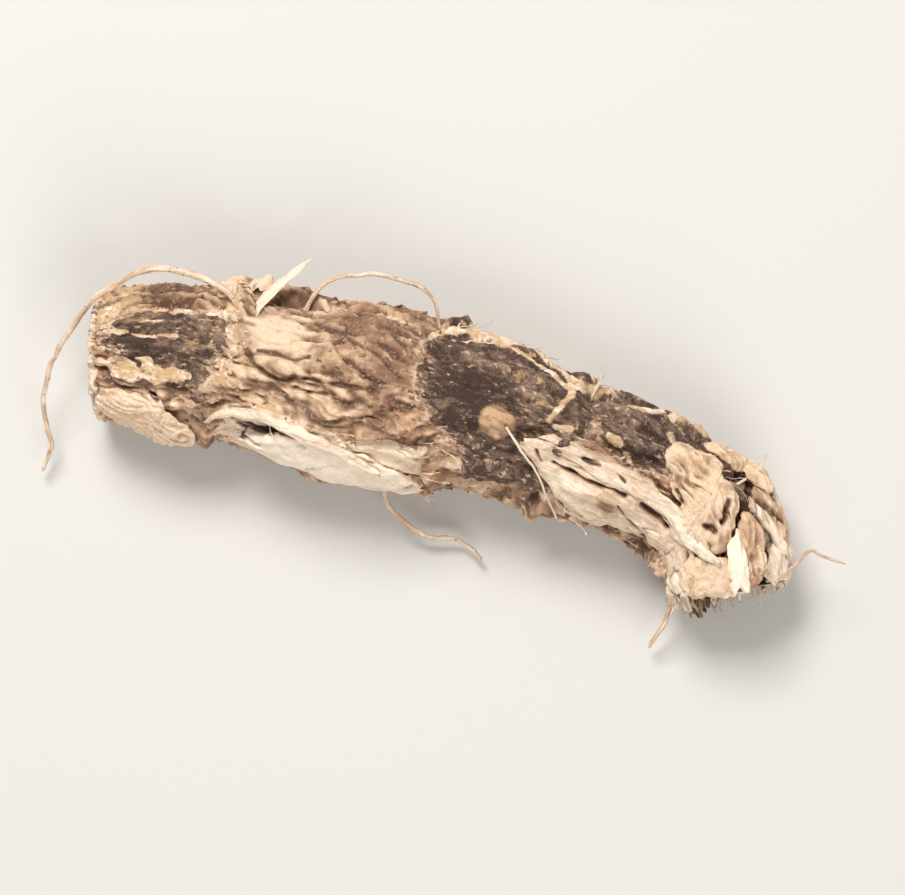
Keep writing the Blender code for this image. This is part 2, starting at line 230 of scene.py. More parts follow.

# Hollows under lifted bark and between torn lumps, sunk in and darkened with painted shade: place
# along, place round, half length, half width and depth.
PITS = (
    (4.5, -5.2, 1.0, 0.70, 0.8),
    (9.8, 3.3, 1.3, 0.25, 0.4),
    (31.6, 6.9, 2.4, 0.8, 1.0),
    (37.2, -3.7, 0.85, 1.1, 1.3),
    (38.8, -2.6, 0.5, 0.4, 0.3),
    (38.3, 2.9, 0.6, 0.9, 0.8),
    (39.6, 1.2, 0.4, 1.2, 0.7),
)
FAR_OFF = 9.0
PLATE_REACH = 3.0  # farther from a dark plate than this its ragged edge doesn't matter
LINE_REACH = 3.2  # a stretch of line that starts farther away than this isn't measured
WRINKLE_DEPTH = 0.26
WRINKLE_SLANT = 0.045  # how far wrinkles turn against the grain in a millimetre
COBBLE_HEIGHT = 0.13
GRAIN_HEIGHT = 0.10
FLAKE_STEP = 0.07
FIBRE_RIDGE = 0.20
FIBRE_SPLIT_DEPTH = 0.45
CRACK_DEPTH = 0.35


def blend(before, a, b, after, t):
    """A value between a and b that also heeds the values before and after them."""
    bend = 2 * before - 5 * a + 4 * b - after
    twist = 3 * a - before - 3 * b + after
    return 0.5 * (2 * a + (b - before) * t + bend * t**2 + twist * t**3)


def through(stations, share):
    """The values at a share from 0 to 1 of a smooth line through the stations."""
    place = min(max(share, 0.0), 1.0) * (len(stations) - 1)
    i = min(int(place), len(stations) - 2)
    near = [stations[min(max(k, 0), len(stations) - 1)] for k in range(i - 1, i + 3)]
    return [blend(*values, place - i) for values in zip(*near)]


def smooth_step(low, high, value):
    """0 below low, 1 above high, and a smooth rise between them."""
    t = min(max((value - low) / (high - low), 0.0), 1.0)
    return t * t * (3 - 2 * t)


def noise_at(x, y, z):
    """Smooth noise at a place, about -1 to 1."""
    return noise.noise(Vector((x, y, z)))


def round_noise(angle, reach, layer):
    """Smooth noise on a circle, so that it closes round the root."""
    return noise_at(reach * math.cos(angle), reach * math.sin(angle), layer)


def cell_gap(place):
    """How far a place is from the nearest border between cells: 0 on the border."""
    near, next_near = noise.voronoi(place)[0][:2]
    return next_near - near


def kept_height(height):
    """A height held above the table and pressed smoothly under the crest's limit, so that layers
    that lie on one another keep their order."""
    free = CREST_HEIGHT_LIMIT - CREST_PRESSED_OVER
    pressed = CREST_PRESSED_OVER * (1 - math.exp(-max(height - free, 0.0) / CREST_PRESSED_OVER))
    return max(min(height, free) + pressed, RESTING_HEIGHT)


def lengthwise(along, angle, length, width):
    """A place in noise that is stretched along the root and closes round it."""
    waver = noise_at(along * 0.15, 1.3 * math.cos(angle), 1.3 * math.sin(angle))
    turned = angle + GRAIN_TWIST * along + GRAIN_WAVER * waver
    ring = GIRTH_RADIUS / width
    return Vector((along / length, ring * math.cos(turned), ring * math.sin(turned)))


def round_from_crest(angle):
    """The way round the root from its crest to an angle, in mm, front side positive."""
    return GIRTH_RADIUS * math.remainder(angle - math.pi / 2, 2 * math.pi)


def inside_peel(along, around):
    """How far inside a peeled stretch a place is, in mm, with a ragged edge. Negative is bark."""
    ragged = 0.9 * noise_at(along * 0.55, around * 0.9, 3.1)
    return ragged + max(
        min(along - start, end - along, around - near, far - around) for start, end, near, far in PEELED
    )


def inside_dark_plate(along, around):
    """How far inside a dark plate a place is, in mm, with a ragged edge. Negative is outside."""
    inside = -FAR_OFF
    for place, round_it, half_length, half_width in DARK_PLATES:
        off = math.hypot((along - place) / half_length, (around - round_it) / half_width)
        inside = max(inside, (1 - off) * min(half_length, half_width))
    if inside < -PLATE_REACH:
        return inside
    ragged = 0.9 * noise_at(along * 0.5, around * 0.8, 11.0)
    ragged += 0.45 * noise_at(along * 1.3, around * 2.2, 12.0)
    return inside + ragged + 0.2 * noise_at(along * 3.5, around * 5.0, 13.0)


def split_at(angle):
    """1 on the split face under the root, 0 on its bark."""
    return smooth_step(0.30, 0.62, -math.sin(angle))


def ring_scar_height(along, around):
    """Height of the scars that run round the root, each on a wavering line."""
    height = 0.0
    for place, wide, high in RING_SCARS:
        off_line = along - place + 1.3 * noise_at(around * 0.35, place, 0)
        height += high * math.exp(-((off_line / wide) ** 2))
    return height


class Outline:
    """A closed outline on the root's surface, seen from its middle."""

    def __init__(self, points):
        self.middle = sum((Vector(point) for point in points), Vector((0, 0))) / len(points)
        spokes = [Vector(point) - self.middle for point in points]
        self.ways = [math.atan2(spoke.y, spoke.x) for spoke in spokes]
        self.edges = [spoke.length for spoke in spokes]

    def edge(self, way):
        """The distance from the middle to the edge in one direction."""
        return float(np.interp(way, self.ways, self.edges, period=2 * math.pi))


SCAR = Outline(SIDE_ROOT_SCAR)
SCAR_REACH = 3.0  # no place on the scar is farther from its middle


def inside_scar(along, around):
    """1 on the scar of the side root, falling to 0 over its ragged edge."""
    spoke = Vector((along, around)) - SCAR.middle
    if spoke.length > SCAR_REACH:
        return 0.0
    share = spoke.length / SCAR.edge(math.atan2(spoke.y, spoke.x))
    share += 0.22 * noise_at(along * 0.9, around * 0.9, 41.0)
    return 1 - smooth_step(0.62, 1.15, share)


def crumble(along, angle):
    """Depth of the cracks that break the torn end into lumps, growing towards the end."""
    torn = smooth_step(34.0, 39.5, along)
    if torn == 0:
        return 0.0
    gap = cell_gap(lengthwise(along, angle, CRUMBLE_SIZE * 1.6, CRUMBLE_SIZE))
    return torn * CRUMBLE_DEPTH * (1 - smooth_step(0.0, 0.5, gap))


def fine_cracks(along, angle, size):
    """1 in the narrow cracks between lumps about as wide as size, in mm, and 0 on the lumps."""
    push = 0.25 * noise.noise_vector(lengthwise(along, angle, 0.9, 0.7))
    return 1 - smooth_step(0.03, 0.20, cell_gap(lengthwise(along, angle, size * 1.5, size) + push))


def bed_height(along, angle):
    """The root's relief without its furrows and cracks, in mm, which loose pieces bridge."""
    return LUMP_HEIGHT * noise.noise(lengthwise(along, angle, 5.0, 3.6)) * (1 - 0.5 * split_at(angle))


def large_relief(along, angle, calm=0.0):
    """The large relief in mm, how far inside a peel a place is, and its share of bark. Where calm
    is 1 the bark is less furrowed."""
    around = round_from_crest(angle)
    split = split_at(angle)
    inside = inside_peel(along, around)
    peel = smooth_step(-0.16, 0.16, inside)
    bark_share = (1 - split) * (1 - peel)
    furrow = 1 - abs(noise.noise(lengthwise(along, angle, FURROW_LENGTH, FURROW_WIDTH)))
    rim = PEEL_RIM * math.exp(-(((inside + 0.55) / 0.4) ** 2))
    bark = rim - FURROW_DEPTH * (1 - 0.6 * calm) * smooth_step(0.5, 1.0, furrow)
    bark += ring_scar_height(along, around) + SCAR_HEIGHT * inside_scar(along, around)
    grain = noise.noise(lengthwise(along, angle, 14.0, 0.9) + Vector((7.0, 0.0, 0.0)))
    wood = WOOD_GRAIN_DEPTH * grain - PEEL_DEPTH * peel * (1 - split)
    height = bed_height(along, angle) + bark_share * bark + (1 - bark_share) * wood
    return height - crumble(along, angle), inside, bark_share


def wandering(along, angle):
    """The same place pushed about a little, so that what is drawn there wanders and branches."""
    push = noise.noise_vector(lengthwise(along, angle, 2.6, 1.9))
    return along + 0.30 * push.x, angle - WRINKLE_SLANT * along + 0.16 * push.y


def wrinkles(along, angle):
    """Wrinkles of the shrunken bark, as a share of their full depth. They run a little askew."""
    broad = 1 - abs(noise.noise(lengthwise(along, angle, 2.9, 0.85) + Vector((0, 3.0, 0))))
    fine = 1 - abs(noise.noise(lengthwise(along, angle, 1.3, 0.45) + Vector((5.0, 0, 0))))
    return 0.65 * smooth_step(0.62, 1.0, broad) + 0.45 * smooth_step(0.66, 1.0, fine)


def cobbles(along, angle):
    """Height of the small warts and lenticels between the wrinkles, in mm."""
    gap = cell_gap(lengthwise(along, angle, 0.85, 0.60))
    grain = noise.noise(lengthwise(along, angle, 0.42, 0.30))
    return COBBLE_HEIGHT * (smooth_step(0.0, 0.45, gap) - 0.5) + GRAIN_HEIGHT * grain


def flaking(along, angle):
    """1 on the flakes of outer cork that are left, in ragged islands, 0 between them."""
    islands = noise.noise(lengthwise(along, angle, 2.4, 1.3) + Vector((0, 0, 9.0)))
    islands += 0.5 * noise.noise(lengthwise(along, angle, 1.0, 0.55) + Vector((0, 8.0, 0)))
    return smooth_step(0.02, 0.10, islands)


def distance_to_line(along, around, points):
    """The distance in mm from a place to a line through points, or FAR_OFF."""
    place = Vector((along, around))
    off = FAR_OFF
    for start, end in zip(points, points[1:]):
        if abs(along - start[0]) < LINE_REACH and abs(around - start[1]) < LINE_REACH:
            on_line, share = geometry.intersect_point_line(place, start, end)
            nearest = Vector(start).lerp(Vector(end), min(max(share, 0), 1))
            off = min(off, (place - nearest).length)
    return off


def near_ridge(along, around):
    """Height of the narrow ridges of broken bark in mm, and how near one is, from 0 to 1."""
    wander = 0.18 * noise_at(along * 0.9, around * 0.9, 21.0)
    broken = smooth_step(-0.35, 0.15, noise_at(along * 0.8, around * 0.8, 23.0))
    height = nearness = 0.0
    for half_width, high, points in RIDGES:
        off = distance_to_line(along, around, points)
        close = math.exp(-(((off + wander) / half_width) ** 2)) if off < 2 else 0.0
        height = max(height, high * close * (0.7 + 0.3 * broken))
        nearness = max(nearness, close * (0.7 + 0.3 * broken))
    return height, nearness


def crust_at(along, around):
    """Height of the crumbled crusts in mm, how far in one a place is, from 0 to 1, and how deep
    between two of its crumbs."""
    wander = 0.50 * noise_at(along * 1.1, around * 1.1, 33.0)
    wander += 0.30 * noise_at(along * 2.8, around * 2.8, 34.0)
    inside = height = 0.0
    for half_width, high, points in CRUSTS:
        off = distance_to_line(along, around, points)
        within = 1 - smooth_step(0.50, 1.15, (off + wander) / half_width)
        inside = max(inside, within)
        height = max(height, high * within)
    if inside == 0:
        return 0.0, 0.0, 0.0
    push = 0.3 * noise.noise_vector(Vector((along * 2.2, around * 2.2, 35.0)))
    near = noise.voronoi(Vector((along * 1.7, around * 1.7, 35.0)) + push)[0][0]
    small = noise.voronoi(Vector((along * 3.8, around * 3.8, 36.0)))[0][0]
    crumb = max(0.0, 1 - (near / 0.7) ** 2)
    height *= 0.30 + 0.70 * crumb + 0.20 * (1 - (small / 0.6) ** 2)
    return height, inside, inside * (1 - crumb) ** 2


def crevice_at(along, around):
    """How deep in a crevice a place is, in mm, and how near its middle line, from 0 to 1."""
    wander = 0.12 * noise_at(along * 1.3, around * 1.3, 25.0)
    gape = 1 + 0.7 * noise_at(along * 0.9, around * 0.9, 27.0)
    depth = nearness = 0.0
    for half_width, deep, points in CREVICES:
        off = distance_to_line(along, around, points)
        close = math.exp(-(((off + wander) / (half_width * gape)) ** 2)) if off < 1 else 0.0
        depth = max(depth, deep * close)
        nearness = max(nearness, close)
    return depth, nearness


def pit_at(along, around):
    """How deep in a hollow a place is, in mm."""
    pit = 0.0
    for place, round_it, half_length, half_width, deep in PITS:
        off = math.hypot((along - place) / half_length, (around - round_it) / half_width)
        if off < 2:
            off += 0.5 * noise_at(along * 1.7, around * 1.7, 31.0)
            pit = max(pit, deep * (1 - smooth_step(0.55, 1.15, off)))
    return pit


def tone_at(along, around):
    """How much lighter or darker than usual a place is, about -1 to 1."""
    tone = 0.0
    for place, round_it, half_length, half_width, amount in TONES:
        off = ((along - place) / half_length) ** 2 + ((around - round_it) / half_width) ** 2
        tone += amount * math.exp(-off)
    return tone


def fibres_of_wood(along, angle):
    """Ridges and splits of the bared, fibrous wood, in mm."""
    ridges = noise.noise(lengthwise(along, angle, 8.0, 0.42) + Vector((2.0, 0, 0)))
    ridges += 0.5 * noise.noise(lengthwise(along, angle, 4.0, 0.25))
    splits = noise.noise(lengthwise(along, angle, 5.0, 0.9) + Vector((0, 0, 4.0)))
    return FIBRE_RIDGE * ridges - FIBRE_SPLIT_DEPTH * smooth_step(0.22, 0.42, splits)


def surface_at(along, angle):
    """Height of the finished surface over the plain section, in mm, and what its colour follows:
    inside a peel, inside a dark plate, share of bark, depth below the local top, ridge and tone. The
    depth is painted as shade in hollows and as highlight on tops."""
    around = round_from_crest(angle)
    tone = tone_at(along, around)
    dark = inside_dark_plate(along, around)
    on_plate = smooth_step(-0.12, 0.12, dark)
    calm = smooth_step(0.25, 0.95, tone) * (1 - on_plate)
    height, peel, bark_share = large_relief(along, angle, calm)
    plate = on_plate * bark_share
    crumbly = smooth_step(-1.0, -0.2, dark) * (1 - smooth_step(-0.1, 0.2, dark)) * bark_share
    ridge, nearness = near_ridge(along, around)
    along_to, angle_to = wandering(along, angle)
    sunk = wrinkles(along_to, angle_to) * (1 - 0.45 * plate) * (1 - 0.7 * nearness) * (1 - 0.6 * calm)
    rough = cobbles(along_to, angle_to) * (1 - 0.75 * calm)
    lumpy = noise.noise(lengthwise(along, angle, 0.8, 0.6))
    bark = PLATE_HEIGHT * plate - WRINKLE_DEPTH * sunk
    bark += FLAKE_STEP * flaking(along, angle) * (1 - plate) * (1 - calm)
    bark += rough * (1 - 0.2 * plate) + 0.30 * crumbly * lumpy - 0.08 * crumbly
    wood = fibres_of_wood(along, angle)
    torn = smooth_step(34.5, 37.0, along)
    cracked = torn * fine_cracks(along, angle, 1.0) if torn else 0.0
    pit = pit_at(along, around)
    crevice, crevice_near = crevice_at(along, around)
    crust, in_crust, between_crumbs = crust_at(along, around)
    fine = (1 - 0.7 * in_crust) * (bark_share * bark + (1 - bark_share) * wood) + crust
    fine += ridge * (1 + 0.2 * lumpy) * (0.3 + 0.7 * bark_share)
    fine += 0.12 * torn * lumpy - CRACK_DEPTH * cracked - pit - crevice
    # The depth mark: painted shade in wrinkles, splits, gaps between crumbs, cracks, pits and crevices, and
    # painted highlight where it goes negative on the cobbles.
    depth = bark_share * (sunk - 2.2 * rough) - (1 - bark_share) * min(wood, 0.0) / FIBRE_SPLIT_DEPTH
    depth = (1 - in_crust) * depth + between_crumbs
    depth += cracked + 1.3 * pit + 1.1 * crevice_near
    return height + fine, (peel, dark, bark_share, depth, max(nearness, in_crust), tone)


def frame_at(share):
    """The station's values at a share of the root's length, its direction and its back-pointing side."""
    ahead, behind = through(STATIONS, share + 0.01), through(STATIONS, share - 0.01)
    tangent = Vector((ahead[0] - behind[0], ahead[1] - behind[1], 0)).normalized()
    return through(STATIONS, share), tangent, Vector((-tangent.y, tangent.x, 0))


def section_offset(station, side, angle):
    """From the middle of a plain section to its edge: round above, flatter on the split side."""
    half_width, crest, split_height = station[2:]
    middle = split_height + WIDEST_AT * (crest - split_height)
    across, up = math.cos(angle), math.sin(angle)
    if up >= 0:
        rise = (crest - middle) * up
    else:
        across = math.copysign(abs(across) ** FLANK_FULLNESS, across)
        rise = -(middle - split_height) * abs(up) ** UNDERSIDE_FLATNESS
    return middle, side * (half_width * across) + Vector((0, 0, rise))


BODY_STEPS_ALONG = 376
BODY_STEPS_ROUND = 232
CREST_CROWDING = 0.30
CUT_FACE_RINGS = 18
TORN_FACE_RINGS = 14
LAST_RING = 0.975  # how far in the last ring of an end face lies, before the point that closes it
RING_CROWDING = 0.85


def cut_face_relief(inward, angle):
    """The depth of the cut face in mm: clefts that run out from the core, pores, and a growth ring."""
    radius = 1 - inward
    ray = abs(round_noise(angle, 4.5, radius * 0.9))
    opened = (1 - smooth_step(0.02, 0.09, ray)) * smooth_step(0.2, 0.45, radius)
    opened *= 1 - smooth_step(0.75, 0.9, radius)
    pores = round_noise(angle, radius * 13, 2.0)
    sawn = round_noise(angle, radius * 2.5, 4.0)
    ring = math.exp(-(((radius - 0.56) / 0.05) ** 2))
    return 0.30 * opened - 0.08 * ring + 0.08 * pores + 0.25 * sawn


def torn_face_relief(inward, angle):
    """The torn face in mm: bundles of fibre that broke at different lengths."""
    radius = 1 - inward
    place = Vector((radius * 4.5 * math.cos(angle), radius * 4.5 * math.sin(angle), 6.0))
    return 1.3 * noise.noise(place) + 0.7 * noise.noise(place * 2.7)


def ring_of_root(share, inward=0.0, pushed=0.0, end_relief=None):
    """One ring round the body: its points in mm, and for each what its colour follows."""
    station, tangent, side = frame_at(share)
    along = share * ROOT_LENGTH
    places, marks = [], []
    for k in range(BODY_STEPS_ROUND):
        turn = 2 * math.pi * k / BODY_STEPS_ROUND
        angle = turn + CREST_CROWDING * math.cos(turn)
        middle, offset = section_offset(station, side, angle)
        height, mark = surface_at(along, angle)
        height *= 1 - smooth_step(0.0, 0.35, inward)
        height *= 1 - CUT_END_TRIM * (1 - smooth_step(0.0, 0.02, share))
        offset *= (1 + height / offset.length) * (1 - inward)
        ragged = TORN_END_REACH * round_noise(angle, 2.1, 5.0) * smooth_step(0.8, 1.0, share)
        at_rim = (1 - smooth_step(0.0, 0.03, share)) * (1 - smooth_step(0.0, 0.3, inward))
        ragged += CUT_END_CHIPPING * round_noise(angle, 3.0, 8.0) * at_rim
        lean = -CUT_END_LEAN * offset.z * (1 - smooth_step(0.0, 0.12, share))
        relief = smooth_step(0.0, 0.12, inward) * end_relief(inward, angle) if end_relief else 0.0
        point = Vector((station[0], station[1], middle)) + offset
        point += tangent * (ragged + lean + pushed + relief)
        point.z = kept_height(point.z)
        places.append(point)
        marks.append((along, angle, inward, *mark, tangent))
    return places, marks


def mesh_from_rings(name, rings):
    """A mesh through rings of points in mm, with a centre point closing each end."""
    count = len(rings[0])
    last = (len(rings) - 1) * count
    verts = [point * MM for ring in rings for point in ring]
    faces = []
    for start in range(0, last, count):
        for k in range(count):
            here, after = start + k, start + (k + 1) % count
            faces.append((here, after, after + count, here + count))
    for ring, start in ((rings[0], 0), (rings[-1], last)):
        faces += [(start + k, start + (k + 1) % count, len(verts)) for k in range(count)]
        verts.append(sum(ring, Vector()) / count * MM)
    mesh = bpy.data.meshes.new(name)
    mesh.from_pydata(verts, [], faces)
    return outward(mesh)


def outward(mesh):
    """The same mesh with its faces turned outwards and shaded smooth."""
    shape = bmesh.new()
    shape.from_mesh(mesh)
    bmesh.ops.recalc_face_normals(shape, faces=shape.faces)
    shape.to_mesh(mesh)
    shape.free()
    mesh.shade_smooth()
    return mesh


def add_piece(name, mesh, material):
    """A piece of the object: it rides on the root and takes the finish it is given."""
    piece = bpy.data.objects.new(name, mesh)
    bpy.context.scene.collection.objects.link(piece)
    mesh.materials.clear()
    mesh.materials.append(material)
    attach(piece, "root")
    return piece


def set_attribute(mesh, name, kind, values):
    """One value for each vertex of a mesh, for materials and loose bits to read."""
    field = "vector" if kind == "FLOAT_VECTOR" else "value"
    mesh.attributes.new(name, kind, "POINT").data.foreach_set(field, np.array(values, np.float32).ravel())


MARKS = ("peel", "dark", "bark_share", "depth", "ridge", "tone")  # as surface_at gives them


def dress(mesh, marks):
    """Gives each vertex what the root's finish follows. A mark holds the place along and the angle
    round the root, the depth into an end face, surface_at's marks and the root's direction."""
    columns = [np.array(column) for column in zip(*marks)]
    along, angle, inward, peel, dark, bark_share, depth, ridge, tone, tangent = columns
    round_it = np.stack([np.cos(angle), np.sin(angle)], 1)
    set_attribute(mesh, "grain", "FLOAT_VECTOR", np.column_stack([along, GIRTH_RADIUS * round_it]))
    set_attribute(mesh, "rays", "FLOAT_VECTOR", np.column_stack([round_it, 1 - inward]))
    set_attribute(mesh, "forward", "FLOAT_VECTOR", tangent)
    around = np.array([round_from_crest(a) for a in angle])
    for name, per_vertex in zip(MARKS, (peel, dark, bark_share, depth, ridge, tone)):
        set_attribute(mesh, name, "FLOAT", per_vertex)
    set_attribute(mesh, "inward", "FLOAT", np.where(along < 1.0, inward, 0.0))
    set_attribute(mesh, "scar", "FLOAT", [inside_scar(*place) for place in zip(along, around)])
    over_table = np.clip(np.sin(angle) * 2.0 + 1.1, 0, 1) * (inward < 0.01)
    near_peel = np.exp(-((peel / 0.45) ** 2))
    torn = np.clip((along - 37.5) / 4.5, 0, 1)
    set_attribute(mesh, "fray", "FLOAT", np.clip(0.5 * near_peel + 0.6 * torn, 0, 1) * over_table)
    near_dark = np.exp(-(((dark + 0.4) / 0.3) ** 2))
    collar = np.exp(-(((along - RING_SCARS[0][0]) / 0.7) ** 2)) + 0.7 * np.exp(-((along / 0.6) ** 2))
    crumbly = np.clip(0.4 * near_dark + 0.3 * collar + 0.3 * torn + 0.25 * ridge, 0, 1) * over_table
    crumbly += 0.6 * (along > 34) * np.clip(-tone - 0.4, 0, 1) * over_table
    set_attribute(mesh, "crumbly", "FLOAT", crumbly)
    bare_cork = np.clip(bark_share, 0, 1) * (dark < -0.3) * (0.10 + 0.60 * (tone < 0.2))
    set_attribute(mesh, "scaly", "FLOAT", bare_cork * over_table)


def dressed_mesh(name, rings, marks):
    """A mesh through rings of points, with what the root's finish follows. The two points that
    close its ends have the marks of the rings beside them."""
    mesh = mesh_from_rings(name, rings)
    dress(mesh, marks + [marks[0], marks[-len(rings[0])]])
    return mesh


class Value:
    """What a node gives, used in Python sums. Each operation adds its Math node."""

    def __init__(self, nodes, socket):
        self.nodes, self.socket = nodes, socket

    def math(self, operation, *terms):
        return self.nodes.add("ShaderNodeMath", {"operation": operation}, dict(enumerate(terms)))

    def __add__(self, other):
        return self.math("ADD", self, other)

    def __sub__(self, other):
        return self.math("SUBTRACT", self, other)

    def __rsub__(self, other):
        return self.math("SUBTRACT", other, self)

    def __mul__(self, other):
        return self.math("MULTIPLY", self, other)

    def __neg__(self):
        return self.math("MULTIPLY", self, -1.0)

    __radd__ = __add__
    __rmul__ = __mul__


class Nodes:
    """A node tree that is being built, for a material or for Geometry Nodes."""

    def __init__(self, tree):
        self.tree = tree

    def add(self, kind, settings=None, inputs=None, output=0):
        """A new node: its settings first, then its sockets' values or links. Gives one output."""
        node = self.tree.nodes.new(kind)
        for name, setting in (settings or {}).items():
            setattr(node, name, setting)
        for name, value in (inputs or {}).items():
            if isinstance(value, Value):
                self.tree.links.new(value.socket, node.inputs[name])
            else:
                node.inputs[name].default_value = value
        return Value(self, node.outputs[output])


def screen_colour(red, green, blue):
    """A colour as a screen shows it, 0 to 255, in Blender's linear values."""
    return (*(((part / 255 + 0.055) / 1.055) ** 2.4 for part in (red, green, blue)), 1.0)


class Surface(Nodes):
    """A material's nodes, with the few steps that every part of the root's finish uses."""

    def attribute(self, name, output="Fac"):
        return self.add("ShaderNodeAttribute", {"attribute_name": name}, output=output)

    def scaled(self, vector, *scale):
        return self.add("ShaderNodeVectorMath", {"operation": "MULTIPLY"}, {0: vector, 1: scale})

    def noise(self, vector, detail=3.0, roughness=0.55, distortion=0.0):
        inputs = {"Vector": vector, "Scale": 1.0, "Detail": detail, "Roughness": roughness}
        return self.add("ShaderNodeTexNoise", {}, {**inputs, "Distortion": distortion})

    def rise(self, value, low, high):
        """0 below low, 1 above high, and a smooth rise between them."""
        settings = {"interpolation_type": "SMOOTHSTEP"}
        inputs = {"Value": value, "From Min": low, "From Max": high}
        return self.add("ShaderNodeMapRange", settings, inputs)

    def mix(self, share, first, second):
        """first where share is 0, second where it is 1."""
        return self.add("ShaderNodeMix", {"data_type": "RGBA"}, {0: share, 6: first, 7: second}, 2)

    def coated(self, colour, *coats):
        """A colour with coats over it. A coat is the value it follows, where it sets in and where
        it is full, its share there and its colour."""
        for value, low, high, share, coat in coats:
            colour = self.mix(self.rise(value, low, high) * share, colour, coat)
        return colour

    def bump(self, height, distance, strength=1.0, below=None):
        inputs = {"Height": height, "Distance": distance * MM, "Strength": strength}
        if below:
            inputs["Normal"] = below
        return self.add("ShaderNodeBump", {}, inputs)

    def feed(self, shader, socket, value):
        """Links a value to one of the surface shader's sockets."""
        self.tree.links.new(value.socket, shader.inputs[socket])


def new_material(name):
    """A material with its node tree, and the surface shader in it."""
    material = bpy.data.materials.new(name)
    material.use_nodes = True
    return material, Surface(material.node_tree), material.node_tree.nodes["Principled BSDF"]


TAN_LIGHT = screen_colour(238, 208, 176)
TAN_MIDDLE = screen_colour(206, 169, 133)
TAN_PINKISH = screen_colour(176, 134, 107)
TAN_DARK = screen_colour(126, 90, 67)
DARK_LIGHT = screen_colour(156, 129, 110)
DARK_MAUVE = screen_colour(120, 95, 80)
DARK_DEEP = screen_colour(66, 46, 34)
CREAM = screen_colour(250, 231, 207)
CREAM_TAN = screen_colour(226, 199, 171)
WOOD_PALE = screen_colour(255, 238, 214)
OCHRE = screen_colour(204, 164, 112)
# Painted shade: the near-black brown that fills the bottoms of cracks, crevices and deep wrinkles.
CREVICE_SHADE = screen_colour(66, 42, 27)
SCAR_TAN = screen_colour(214, 178, 142)
SCAR_OLIVE = screen_colour(200, 162, 118)
CORE_YELLOW = screen_colour(228, 194, 138)
RING_BROWN = screen_colour(146, 108, 74)
ROOT_ROUGHNESS = 0.84


